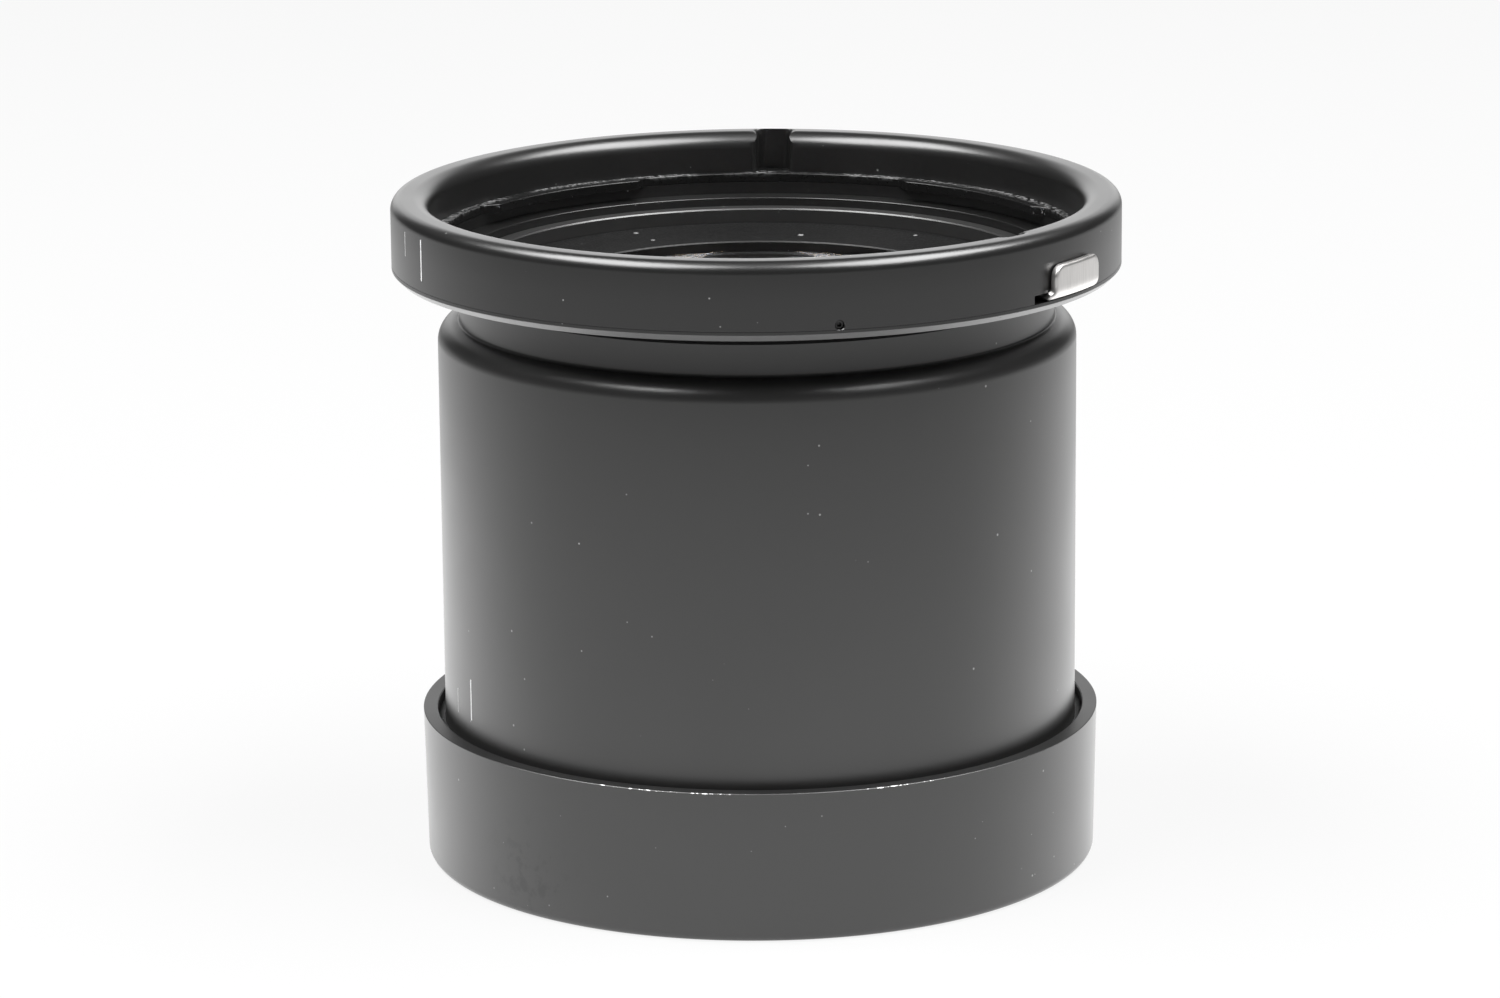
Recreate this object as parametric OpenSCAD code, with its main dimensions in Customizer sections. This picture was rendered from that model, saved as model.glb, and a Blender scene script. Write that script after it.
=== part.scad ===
// Medium-format teleconverter, standing upright on its slip-on rear cap.
// The origin is the centre of the cap's resting face, and +Z runs up the optical axis to the front collar.
// Directions are angles from the front (-Y) towards +X. All sizes are in millimetres and degrees.

/* [Front bayonet] */
// Diameter of the open bore in the front collar
bore_d = 80.4; // [79:0.2:84]
// Depth of the bore, from the rim down to the claws
bore_depth = 5.1; // [4:0.1:8]
// How far the claws reach in from the bore wall
claw_reach = 2.5; // [2:0.1:2.9]
// How far the gaps between the claws reach in from the bore wall
gap_reach = 1.1; // [0.8:0.1:1.4]
// Thickness of the claw ring
claw_t = 1.1; // [0.9:0.1:1.5]
// Angle covered by each claw
claw_angle = 38; // [30:1:42]
// Number of claws, and of lugs on the rear bayonet
claw_count = 4; // [3:1:4]
// Direction of the middle of one gap between the claws
gap_dir = 176.5; // [170:0.5:184]
// Depth of the groove that the lugs of the other half turn in
groove_h = 1.5; // [1.4:0.05:1.7]

/* [Front collar] */
// Radial width of the collar, from its bore to its outside
rim_w = 4.8; // [4.5:0.1:6]
// Rounding of the rim's outer edge
rim_round_out = 1.1; // [0.5:0.1:1.4]
// Rounding of the rim's inner edge
rim_round_in = 1.5; // [0.8:0.1:2]
// Wall of the collar round the lever pocket
skirt_t = 2.0; // [1.7:0.1:2.2]
// Thickness of the base plate's flange
plate_t = 1.16; // [1:0.02:1.6]
// Chamfer round the foot of the base plate
foot_chamfer = 0.75; // [0.3:0.05:0.9]
// Height of the lever pocket under the claw ring
pocket_h = 2.04; // [1.9:0.02:2.4]
// How far the base plate's hub hangs below its flange
hub_drop = 1.64; // [0.8:0.02:2.4]
// How far the hub stands out past the neck
hub_step = 0.65; // [0.3:0.05:0.8]
// Chamfer round the foot of the hub
hub_chamfer = 0.3; // [0.1:0.05:0.5]
// Width of the keyway and of the shallow notch in the rim
keyway_w = 4.2; // [3:0.1:6]
// Radial depth of the keyway
keyway_depth = 3.4; // [2:0.1:3.6]
// Direction of the keyway
keyway_dir = 176.8; // [170:0.2:184]
// Radial depth of the shallow notch
notch_depth = 2.1; // [1.5:0.1:3]
// Direction of the shallow notch
notch_dir = 46.4; // [40:0.2:52]
// Corner radius of the keyway and the notch
keyway_round = 0.9; // [0.3:0.1:1.4]

/* [Collar screws] */
// Number of screws that clamp the collar, claw ring and base plate
screw_count = 6; // [4:1:6]
// Direction of the first collar screw
screw_dir = 18; // [14:1:22]
// Thread diameter of the collar and rear bayonet screws
screw_d = 2.0; // [1.6:0.1:2.2]
// Head diameter of those screws
screw_head_d = 3.6; // [3:0.1:3.8]
// Height of their countersunk heads
screw_head_h = 0.9; // [0.7:0.1:1.1]
// Length of thread in the collar or the barrel
screw_bite = 2.6; // [2:0.1:3.2]
// Number of set screws in the side of the collar
set_count = 3; // [1:1:3]
// Direction of the first set screw
set_dir = 12.4; // [6:0.2:16]
// Diameter of the set screws
set_d = 1.1; // [0.9:0.05:1.3]
// How far a set screw lies below the collar's surface
set_depth = 0.5; // [0.3:0.05:0.9]

/* [Release lever] */
// Direction of the middle of the lever at rest
lever_dir = 56.5; // [54:0.5:58]
// Width of the lever along the collar
lever_w = 10.6; // [9:0.1:12]
// Thickness of the lever's plate
lever_t = 0.8; // [0.6:0.05:0.9]
// Height of the thumb tab from the underside of the plate
tab_h = 4.25; // [3:0.05:6]
// Corner radius of the thumb tab
tab_round = 1.6; // [0.6:0.1:2]
// Radius of the bend between plate and tab
bend_r = 0.5; // [0.2:0.1:0.7]
// Angle that the lever turns to release the lens
lever_travel = 2.8; // [2:0.1:3.4]
// Wall between the lever pocket and the lug groove
guide_t = 0.5; // [0.3:0.05:0.7]
// Direction of the lock bolt
bolt_dir = 55; // [54:0.5:56]
// Width of the lock bolt
bolt_w = 3.0; // [2.2:0.1:3.4]
// How far the lock bolt reaches into the lug groove
bolt_reach = 1.0; // [0.6:0.05:1]
// How far the lock bolt draws back
bolt_throw = 1.2; // [1.05:0.05:1.2]
// Diameter of the pin on the bolt that follows the lever
follower_d = 1.0; // [0.7:0.1:1.1]
// Distance of that pin from the bolt's tail
follower_tail = 0.65; // [0.6:0.05:0.8]
// How far out of the pocket's middle the ends of the return spring lie
spring_shift = 0.2; // [0:0.05:0.4]
// Installed length of the lever's return spring
spring_len = 13.6; // [10:0.2:15]
// Outside diameter of the spring
spring_d = 1.5; // [1.2:0.05:1.6]
// Wire diameter of the spring
spring_wire = 0.25; // [0.2:0.01:0.3]
// Number of turns in the spring
spring_turns = 12; // [8:1:14]

/* [Barrel] */
// Gap between the barrel and a bore of the same bayonet
barrel_gap = 0.7; // [0.3:0.05:1]
// Length of the straight barrel, from the rear seat to the shoulder
barrel_len = 50.2; // [47:0.2:60]
// Radius of the rounded shoulder, and so the step down to the neck
shoulder_r = 2.7; // [2:0.1:3.2]
// Length of the neck under the collar
neck_len = 4.3; // [3:0.1:6]
// Step from the neck to its thread
thread_step = 0.65; // [0.4:0.05:0.9]
// Length of the threaded end of the neck
thread_len = 2.3; // [1.8:0.1:3]
// Wall of the threaded end
neck_wall = 2.15; // [1.6:0.05:2.8]
// Chamfer round both edges of the neck's end
neck_chamfer = 0.32; // [0.1:0.02:0.4]
// Wall of the barrel where its bore is relieved
barrel_wall = 2.5; // [1.8:0.1:3.5]
// Length of the barrel's bore that guides each end of the lens cell
land_len = 8; // [5:0.5:10]
// Thickness of the web that the lens cell seats on
web_t = 2.3; // [1.5:0.1:3]
// How far the web's hole stands back from the rear glass's clear opening
web_back = 3.0; // [1:0.1:5]

/* [Optics] */
// Wall of the lens cell
cell_wall = 5.0; // [3.5:0.1:6]
// Width of the flat edge round each glass
lens_lip = 2.7; // [1.5:0.1:3]
// How far gap rings and lips stand back from the clear opening
ring_back = 0.3; // [0.1:0.05:0.8]
// Thickness of the lip at the foot of the lens cell
cell_lip_t = 3.0; // [2:0.1:4]
// Depth of the front retaining ring below the end of the neck
ring_set = 1.8; // [1:0.1:3]
// Height of the front retaining ring at its outside
ring_h = 2.3; // [1.8:0.1:3]
// How much the front retaining ring dishes towards the glass
ring_dish = 1.0; // [0.3:0.1:1.2]
// Width of the spanner slots in the front retaining ring
spanner_slot = 1.2; // [0.8:0.1:2]
// Edge thickness of the front glass
front_edge = 3.0; // [2.4:0.1:4]
// Thickness in the middle of the glass cemented behind it
flint_middle = 2.4; // [1.6:0.1:4]
// Width of the gap ring between front pair and middle glass
front_gap = 2.5; // [1.5:0.1:4]
// Edge thickness of the middle glass
middle_edge = 2.5; // [2:0.1:4]
// Air between middle glass and rear pair, along the axis
rear_air = 0.9; // [0.4:0.1:3]
// Edge thickness of the first glass of the rear pair
crown_edge = 3.0; // [2.4:0.1:4]
// Thickness in the middle of the second glass of the rear pair
rear_flint_middle = 1.8; // [1.4:0.1:4]
// Thickness in the middle of the rear glass
last_middle = 2.4; // [1.6:0.1:5]
// Rise of the front pair's face
front_face_rise = 3.2; // [2.4:0.1:4]
// Rise of the surface where the front pair is cemented
front_joint_rise = 4.2; // [3:0.1:5]
// Rise of the front pair's hollow back
front_back_rise = 3.9; // [3.2:0.1:5]
// Rise of both sides of the middle glass
middle_rise = 2.9; // [2:0.1:3.4]
// Rise of the rear pair's face
rear_face_rise = 3.7; // [2.4:0.1:4.4]
// Rise of the surface where the rear pair is cemented
rear_joint_rise = 5.1; // [3.4:0.1:5.6]
// Rise of the rear pair's hollow back
rear_back_rise = 3.5; // [2.4:0.1:4.4]
// Rise of the rear glass's hollow face
last_face_rise = 4.2; // [3:0.1:5]
// Rise of the rear glass's bulging back
last_back_rise = 2.0; // [1.4:0.1:3]
// Step in from the lens cell's outside to the rear cell's outside
rear_cell_step = 1.0; // [0.6:0.1:2]
// Wall of the rear cell round the rear glass
rear_cell_wall = 6.5; // [5:0.1:7.5]
// Thickness of the rear cell's lip in front of the rear glass
rear_lip_t = 2.0; // [1.5:0.1:3]
// Step in from the rear cell's outside to the light shield's outside
shield_step = 3.0; // [2:0.1:3.6]
// Wall of the light shield behind the rear glass
shield_wall = 1.6; // [1:0.1:2.2]
// Height of the shield's end above the cap's floor
shield_clear = 5.5; // [4.8:0.1:7]
// Height of the rear retaining ring
rear_ring_h = 2.4; // [1.6:0.1:3]

/* [Rear bayonet] */
// Height of the rear seat above the resting face
seat_z = 15.2; // [14.6:0.1:17]
// Thickness of the rear bayonet's flange
flange_t = 1.2; // [1:0.1:2]
// Thickness of a lug
lug_t = 1.2; // [1:0.05:1.3]
// Play between lugs and claws: axial, and radial on each side
lug_play = 0.2; // [0.1:0.05:0.25]
// Angle of play at the ends of each lug
lug_slack = 2; // [1:0.5:4]
// Wall of the spigot that carries the lugs
spigot_wall = 4.5; // [4:0.1:5.2]
// Number of screws in the rear bayonet
rear_screw_count = 4; // [3:1:6]

/* [Rear cap] */
// Height of the cap
cap_h = 18.6; // [17.8:0.1:22]
// Wall of the cap at its mouth
cap_wall = 1.84; // [1.4:0.02:2.6]
// Gap between the cap's mouth and the barrel
cap_gap = 0.9; // [0.5:0.05:1.2]
// Taper of the cap's side
cap_draft = 1.07; // [0:0.01:2]
// Rounding of the cap's lower edge
cap_edge = 0.95; // [0.4:0.05:1.6]
// Thickness of the cap's floor
cap_floor = 2.0; // [1.2:0.1:3]
// How far the felt strip lies below the cap's mouth
felt_set = 1.25; // [0.6:0.05:2]

/* [Clearances] */
// Gap between pieces that are fitted together
fit_gap = 0.02; // [0.01:0.01:0.04]
// Gap between pieces that move past each other
move_gap = 0.15; // [0.1:0.01:0.18]
// Gap between the thumb tab and the collar
tab_gap = 0.3; // [0.2:0.05:0.6]
// Gap between the felt and the barrel
felt_gap = 0.05; // [0.02:0.01:0.1]
// Play of the bolt's pin in the lever's slot, on each side
follower_play = 0.08; // [0.04:0.01:0.12]
// Gap at each end of the lever's spring
spring_end_gap = 0.25; // [0.1:0.05:0.4]
// Gap between the cap's step and the rear seat
cap_seat_gap = 0.05; // [0.02:0.01:0.2]
// Thickness of the cement between paired glasses
cement_t = 0.02; // [0.01:0.01:0.05]

/* [Hidden] */
$fn = 96;
face_fn = 256;
over = 1;

bore_r = bore_d / 2;
collar_r = bore_r + rim_w;
claw_r = bore_r - claw_reach;
gap_r = bore_r - gap_reach;
land_r = collar_r - skirt_t;
claw_pitch = 360 / claw_count;
pocket_r = gap_r + guide_t;

barrel_r = bore_r - barrel_gap;
neck_r = barrel_r - shoulder_r;
thread_r = neck_r - thread_step;
hub_r = neck_r + hub_step;
cell_r = thread_r - neck_wall;
lens_r = cell_r - cell_wall;
clear_r = lens_r - lens_lip;

flange_z = seat_z + flange_t;
shoulder_z = seat_z + barrel_len;
neck_z = shoulder_z + shoulder_r;
hub_z = neck_z + neck_len;
thread_z = hub_z + thread_len;
collar_z = hub_z + hub_drop;
plate_z = collar_z + plate_t;
claw_z = plate_z + pocket_h;
ledge_z = claw_z + claw_t;
rim_z = ledge_z + bore_depth;
groove_z = claw_z - groove_h;

screw_r = screw_d / 2;
screw_ring = (bore_r + land_r) / 2;
set_r = set_d / 2;
set_z = plate_z + set_r + fit_gap;

lever_z = plate_z + move_gap;
lever_r0 = pocket_r + move_gap;
tab_r0 = collar_r + tab_gap;
tab_r1 = tab_r0 + lever_t;
lever_angle = lever_w / tab_r1 * 180 / PI;
lever_a0 = lever_dir - lever_angle / 2;
lever_a1 = lever_dir + lever_angle / 2;
play_angle = move_gap / collar_r * 180 / PI;
slot_a0 = lever_a0 - lever_travel - play_angle;
slot_a1 = lever_a1 + play_angle;
slot_h = lever_t + 2 * move_gap;

bolt_z = lever_z + lever_t + move_gap / 2;
bolt_t = claw_z - move_gap / 2 - bolt_z;
bolt_r0 = gap_r - bolt_reach;
bolt_r1 = land_r - bolt_throw - move_gap;
follower_r = bolt_r1 - follower_tail;

spring_ring = (pocket_r + land_r) / 2 + spring_shift;
spring_angle = spring_len / spring_ring * 180 / PI;
ear_angle = lever_t / spring_ring * 180 / PI;
spring_end_angle = spring_end_gap / spring_ring * 180 / PI;
pocket_a0 = lever_a0 - spring_angle - 2 * spring_end_angle;
pocket_a1 = slot_a1;

flint_edge = flint_middle + front_joint_rise + front_back_rise;
rear_gap = rear_air + middle_rise + rear_face_rise;
rear_flint_edge = rear_flint_middle + rear_joint_rise + rear_back_rise;
rear_edge = last_middle + last_face_rise - last_back_rise;

front_z = thread_z - ring_set - ring_h;
flint_z = front_z - front_edge - cement_t;
front_gap_z = flint_z - flint_edge;
middle_z = front_gap_z - front_gap;
rear_gap_z = middle_z - middle_edge;
crown_z = rear_gap_z - rear_gap;
rear_flint_z = crown_z - crown_edge - cement_t;
lip_z = rear_flint_z - rear_flint_edge;
cell_z = lip_z - cell_lip_t;
rear_stop_z = cell_z - web_t;

rear_cell_r = cell_r - rear_cell_step;
shield_r = rear_cell_r - shield_step;
last_r = rear_cell_r - rear_cell_wall;
last_clear_r = last_r - lens_lip;
last_z = rear_stop_z - rear_lip_t;
shield_z = cap_floor + shield_clear;
web_hole_r = last_clear_r + web_back;

spigot_r = claw_r - lug_play;
spigot_r0 = spigot_r - spigot_wall;
lug_r = gap_r - lug_play;
lug_z = seat_z - claw_t - lug_play / 2;
lug_angle = claw_pitch - claw_angle - 2 * lug_slack;
rear_screw_ring = (spigot_r + spigot_r0) / 2;
rear_screw_dir = gap_dir + claw_pitch / 2;
lock_angle = (bolt_dir + 360 - gap_dir) % claw_pitch - claw_pitch / 2;

cap_r0 = barrel_r + cap_gap;
cap_r1 = cap_r0 + cap_wall;
cap_foot_r = cap_r1 - cap_h * tan(cap_draft);
cap_low_r = lug_r + move_gap;

// Unit vector of a direction in the plane
function heading(direction) = [sin(direction), -cos(direction)];

// Turns what lies along +X to a direction measured from the front
module toward(direction) {
  rotate([0, 0, direction - 90]) children();
}

// Rectangle in the plane of radius and height
module band(r0, r1, z0, z1) {
  translate([r0, z0]) square([r1 - r0, z1 - z0]);
}

// What rounding takes off the corner at (r, z); dr and dz point into the material
module round_off(r, z, radius, dr, dz) {
  difference() {
    translate([r - dr * over, z - dz * over])
      signed_square(dr * (radius + over), dz * (radius + over));
    translate([r + dr * radius, z + dz * radius]) circle(r = radius);
  }
}

// Rectangle from the origin to (w, h), either of which may be negative
module signed_square(w, h) {
  translate([min(w, 0), min(h, 0)]) square([abs(w), abs(h)]);
}

// What a 45 degree chamfer takes off the corner at (r, z)
module chamfer_off(r, z, size, dr, dz) {
  far = size + over;
  polygon([
    [r - dr * over, z - dz * over],
    [r + dr * far, z - dz * over],
    [r - dr * over, z + dz * far]
  ]);
}

// Revolves a profile over part of a turn, from direction a0 to a1
module sector(a0, a1) {
  toward(a0) rotate_extrude(angle = a1 - a0) children();
}

// Repeats its children round the axis
module around(count, first) {
  for (i = [0 : count - 1]) toward(first + i * 360 / count) children();
}

// Rounded slot cut out of the rim, as deep as the bore
module rim_cut(direction, depth) {
  tall = bore_depth + over;
  inner = keyway_w - 2 * keyway_round;
  toward(direction) translate([bore_r - over, 0, ledge_z]) {
    translate([0, -inner / 2, 0]) cube([depth + over, inner, tall]);
    translate([0, -keyway_w / 2, 0]) cube([depth + over - keyway_round, keyway_w, tall]);
    for (side = [-1, 1])
      translate([depth + over - keyway_round, side * inner / 2, 0]) cylinder(r = keyway_round, h = tall);
  }
}

// Countersunk screw standing on its head at the origin, with room all round it
module screw(length, room) {
  cylinder(r1 = screw_head_d / 2 + room, r2 = screw_r + room, h = screw_head_h);
  cylinder(r = screw_r + room, h = length);
}

// Screw with its slot
module slotted_screw(length) {
  slot_w = screw_d / 4;
  difference() {
    screw(length, 0);
    translate([-screw_d, -slot_w / 2, -over]) cube([2 * screw_d, slot_w, over + screw_head_h / 3]);
  }
}

// Glass with a flat edge; a face with a positive rise bulges, one with a negative rise is hollow
module glass(radius, clear, top, edge, front, back) {
  difference() {
    union() {
      translate([0, 0, top - edge]) cylinder(r = radius, h = edge);
      if (front > 0) glass_face(clear, top, front, 1);
      if (back > 0) glass_face(clear, top - edge, back, -1);
    }
    if (front < 0) face_sphere(clear, top, -front, -1);
    if (back < 0) face_sphere(clear, top - edge, -back, 1);
  }
}

// Radius of the sphere that rises so far over a circle
function face_radius(clear, rise) = (clear * clear + rise * rise) / (2 * rise);

// Sphere that meets the plane at height z in the clear opening and rises to one side of it
module face_sphere(clear, z, rise, up) {
  radius = face_radius(clear, rise);
  translate([0, 0, z + up * (rise - radius)]) sphere(r = radius, $fn = face_fn);
}

// Bulging face over the plane at height z
module glass_face(clear, z, rise, up) {
  sunk = fit_gap;
  intersection() {
    face_sphere(clear, z, rise, up);
    translate([0, 0, up > 0 ? z - sunk : z - rise - sunk])
      cylinder(r = clear + lens_lip, h = rise + 2 * sunk);
  }
}

// Ring in the lens cell's bore, from height z down
module cell_ring(z, height) {
  rotate_extrude() band(clear_r + ring_back, lens_r, z - height, z);
}

// Straight barrel, rounded shoulder, neck and threaded end, bored for the two cells
module main_barrel() {
  color("#1c1c1d") difference() {
    rotate_extrude() difference() {
      union() {
        band(web_hole_r, barrel_r, flange_z, neck_z);
        band(web_hole_r, neck_r, neck_z - over, hub_z);
        band(web_hole_r, thread_r, hub_z - over, thread_z);
      }
      round_off(barrel_r, neck_z, shoulder_r, -1, -1);
      band(0, cell_r + fit_gap, cell_z, thread_z + over);
      band(0, barrel_r - barrel_wall, cell_z + land_len, front_z - land_len);
      band(0, rear_cell_r + fit_gap, flange_z - over, rear_stop_z);
      chamfer_off(cell_r + fit_gap, thread_z, neck_chamfer, 1, -1);
      chamfer_off(thread_r, thread_z, neck_chamfer, -1, -1);
    }
    around(rear_screw_count, rear_screw_dir)
      translate([rear_screw_ring, 0, flange_z - over]) cylinder(r = screw_r + fit_gap, h = screw_bite + over);
  }
}

// Rim and skirt of the collar, with the open bore for the lens
module mount_collar() {
  color("#18181a") difference() {
    rotate_extrude() difference() {
      union() {
        band(bore_r, collar_r, ledge_z, rim_z);
        band(land_r, collar_r, plate_z, ledge_z + over);
      }
      round_off(collar_r, rim_z, rim_round_out, -1, -1);
      round_off(bore_r, rim_z, rim_round_in, 1, -1);
    }
    rim_cut(keyway_dir, keyway_depth);
    rim_cut(notch_dir, notch_depth);
    sector(slot_a0, slot_a1) band(land_r - over, collar_r + over, plate_z - over, plate_z + slot_h);
    around(set_count, set_dir) translate([land_r - over, 0, set_z])
      rotate([0, 90, 0]) cylinder(r = set_r, h = skirt_t + 2 * over);
    around(screw_count, screw_dir)
      translate([screw_ring, 0, ledge_z - over]) cylinder(r = screw_r + fit_gap, h = screw_bite + over);
  }
}

// Flange under the collar, with the threaded hub, the lug groove's floor and the lever pocket
module collar_base_plate() {
  hole_r = thread_r + fit_gap;
  color("#1a1a1b") difference() {
    rotate_extrude() difference() {
      union() {
        band(hole_r, collar_r, collar_z, plate_z);
        band(hole_r, hub_r, hub_z, collar_z + plate_t / 2);
        band(hole_r, gap_r + guide_t / 2, collar_z, groove_z);
        band(gap_r, land_r - fit_gap, plate_z - plate_t / 2, claw_z);
      }
      chamfer_off(collar_r, collar_z, foot_chamfer, -1, 1);
      chamfer_off(hub_r, hub_z, hub_chamfer, -1, 1);
    }
    sector(pocket_a0, pocket_a1) band(pocket_r, land_r + over, plate_z, claw_z + over);
    toward(bolt_dir) translate([claw_r, -bolt_w / 2 - move_gap / 2, bolt_z - move_gap / 2])
      cube([pocket_r - claw_r + over, bolt_w + move_gap, claw_z - bolt_z + over]);
    around(screw_count, screw_dir) translate([screw_ring, 0, collar_z])
      screw(claw_z - collar_z + over, fit_gap);
  }
}

// Clamped ring with the claws that hold the lens's lugs
module bayonet_claw_ring() {
  color("#2a2a2b") difference() {
    union() {
      rotate_extrude() band(gap_r, land_r - fit_gap, claw_z, ledge_z);
      for (i = [0 : claw_count - 1]) {
        middle = gap_dir + (i + 0.5) * claw_pitch;
        sector(middle - claw_angle / 2, middle + claw_angle / 2)
          band(claw_r, gap_r + gap_reach / 2, claw_z, ledge_z);
      }
    }
    around(screw_count, screw_dir)
      translate([screw_ring, 0, claw_z - over]) cylinder(r = screw_r + fit_gap, h = claw_t + 2 * over);
  }
}

// Screws driven up through base plate and claw ring into the collar
module collar_screws() {
  color("#3a3a3c") around(screw_count, screw_dir)
    translate([screw_ring, 0, collar_z]) slotted_screw(ledge_z + screw_bite - collar_z - move_gap);
}

// Headless screws in the side of the collar
module collar_set_screws() {
  color("#303032") around(set_count, set_dir) translate([land_r, 0, set_z])
    rotate([0, 90, 0]) cylinder(r = set_r - fit_gap, h = skirt_t - set_depth);
}

// Bent plate with the thumb tab, the cam slot for the bolt and the ear for the spring
module release_lever() {
  slot_w = follower_d + 2 * follower_play;
  color("#c4c2be") difference() {
    union() {
      lever_sheet();
      sector(lever_a0, lever_a0 + ear_angle)
        band(spring_ring - spring_d / 2, spring_ring + spring_d / 2,
             lever_z + lever_t / 2, claw_z - move_gap);
    }
    cam_slot(slot_w);
  }
}

// Bent sheet of the lever: a flat plate that turns up into the rounded tab
module lever_sheet() {
  difference() {
    sector(lever_a0, lever_a1) difference() {
      union() {
        band(lever_r0, tab_r1, lever_z, lever_z + lever_t);
        band(tab_r0, tab_r1, lever_z, lever_z + tab_h);
      }
      round_off(tab_r1, lever_z, bend_r, -1, 1);
    }
    tab_corner(lever_a0, 1);
    tab_corner(lever_a1, -1);
  }
}

// What the rounding takes off one top corner of the tab; side points into the tab
module tab_corner(direction, side) {
  inset = tab_round / tab_r1 * 180 / PI;
  top = lever_z + tab_h;
  toward(direction + side * inset) translate([tab_r0 - over, 0, top - tab_round]) difference() {
    translate([0, side > 0 ? -tab_round - over : 0, 0])
      cube([lever_t + 2 * over, tab_round + over, tab_round + over]);
    rotate([0, 90, 0]) translate([0, 0, -over]) cylinder(r = tab_round, h = lever_t + 3 * over);
  }
}

// Slanted slot that draws the bolt back as the lever turns
module cam_slot(width) {
  start = follower_r * heading(bolt_dir);
  run = (follower_r + bolt_throw) * heading(bolt_dir + lever_travel) - start;
  tall = lever_t + over;
  translate([start.x, start.y, lever_z - over / 2]) rotate([0, 0, atan2(run.y, run.x)]) {
    cylinder(r = width / 2, h = tall);
    translate([norm(run), 0, 0]) cylinder(r = width / 2, h = tall);
    translate([0, -width / 2, 0]) cube([norm(run), width, tall]);
  }
}

// Bolt that slides in along a radius and catches a notch in one lug
module lock_bolt() {
  nose = bolt_w / 4;
  color("#8d8a84") toward(bolt_dir) difference() {
    translate([0, 0, bolt_z]) linear_extrude(bolt_t) polygon([
      [bolt_r0 + nose, -bolt_w / 2],
      [bolt_r1, -bolt_w / 2],
      [bolt_r1, bolt_w / 2],
      [bolt_r0 + nose, bolt_w / 2],
      [bolt_r0, bolt_w / 2 - nose],
      [bolt_r0, nose - bolt_w / 2]
    ]);
    translate([follower_r, 0, bolt_z - over]) cylinder(r = follower_d / 2 + fit_gap, h = bolt_t + 2 * over);
  }
}

// Pin that ties the bolt to the lever's slot
module lock_bolt_pin() {
  low = lever_z + move_gap / 2;
  color("#b9b6b0") toward(bolt_dir)
    translate([follower_r, 0, low]) cylinder(r = follower_d / 2, h = bolt_z + bolt_t - low);
}

// Points of the spring's wire, along X from the middle of the spring
spring_steps = 8 * spring_turns;
spring_mean_r = (spring_d - spring_wire) / 2;
spring_straight = spring_len - spring_wire;
function spring_turn(i) = 360 * spring_turns * i / spring_steps;
function spring_point(i) = [
  spring_straight * (i / spring_steps - 0.5),
  spring_mean_r * cos(spring_turn(i)),
  spring_mean_r * sin(spring_turn(i))
];
spring_points = [for (i = [0 : spring_steps]) spring_point(i)];
spring_near = [
  for (i = [0 : spring_steps], j = [i + 5 : 1 : spring_steps]) norm(spring_points[i] - spring_points[j])
];
echo(spring_least_gap = min(spring_near) - spring_wire);

// Compression spring that pushes the lever back
module lever_spring() {
  sides = 6;
  wire_r = spring_wire / 2;
  pitch = spring_straight / spring_turns;
  lean = atan2(pitch, 2 * PI * spring_mean_r);
  rings = [
    for (i = [0 : spring_steps], k = [0 : sides - 1])
      let (t = spring_turn(i), a = 360 * k / sides, out = [0, cos(t), sin(t)],
           side = [cos(lean), sin(lean) * sin(t), -sin(lean) * cos(t)])
      spring_point(i) + wire_r * (cos(a) * out + sin(a) * side)
  ];
  walls = [
    for (i = [0 : spring_steps - 1], k = [0 : sides - 1])
      let (a = i * sides + k, b = i * sides + (k + 1) % sides)
      each [[a, a + sides, b + sides], [a, b + sides, b]]
  ];
  last = spring_steps * sides;
  ends = [for (k = [1 : sides - 2]) each [[0, k, k + 1], [last, last + k + 1, last + k]]];
  middle = lever_a0 - spring_end_angle - spring_angle / 2;
  height = (plate_z + claw_z) / 2;
  inset = spring_ring * cos(spring_angle / 2);
  color("#77787a") toward(middle) translate([inset, 0, height]) rotate([0, 0, 90])
    polyhedron(points = rings, faces = concat(walls, ends));
}

// Tube that holds the glasses, bored from the front and lipped at its foot
module lens_cell() {
  color("#232324") rotate_extrude() difference() {
    band(clear_r + ring_back, cell_r, cell_z, front_z - move_gap);
    band(0, lens_r + fit_gap, lip_z, front_z + over);
  }
}

// Dished ring that closes the lens cell, with two slots for a spanner
module front_retaining_ring() {
  top = front_z + ring_h;
  color("#2f2f31") difference() {
    rotate_extrude() polygon([
      [clear_r, front_z],
      [cell_r, front_z],
      [cell_r, top],
      [clear_r, top - ring_dish]
    ]);
    for (direction = [90, 270])
      toward(direction) translate([cell_r - lens_lip, -spanner_slot / 2, top - ring_dish])
        cube([lens_lip + over, spanner_slot, ring_dish + over]);
  }
}

// First glass of the front pair
module front_glass() {
  color("#9aa4c4", 0.4) glass(lens_r, clear_r, front_z, front_edge, front_face_rise, front_joint_rise);
}

// Second glass of the front pair, hollow on both sides
module front_flint_glass() {
  color("#a3b0b8", 0.4) glass(lens_r, clear_r, flint_z, flint_edge, -front_joint_rise, -front_back_rise);
}

// Ring that keeps the front pair off the middle glass
module front_gap_ring() {
  color("#262627") cell_ring(front_gap_z, front_gap);
}

// Middle glass, bulging on both sides
module middle_glass() {
  color("#a9b4bb", 0.4) glass(lens_r, clear_r, middle_z, middle_edge, middle_rise, middle_rise);
}

// Ring that keeps the middle glass off the rear pair
module rear_gap_ring() {
  color("#262627") cell_ring(rear_gap_z, rear_gap);
}

// First glass of the rear pair
module rear_crown_glass() {
  color("#9fb0b4", 0.4) glass(lens_r, clear_r, crown_z, crown_edge, rear_face_rise, rear_joint_rise);
}

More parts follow.
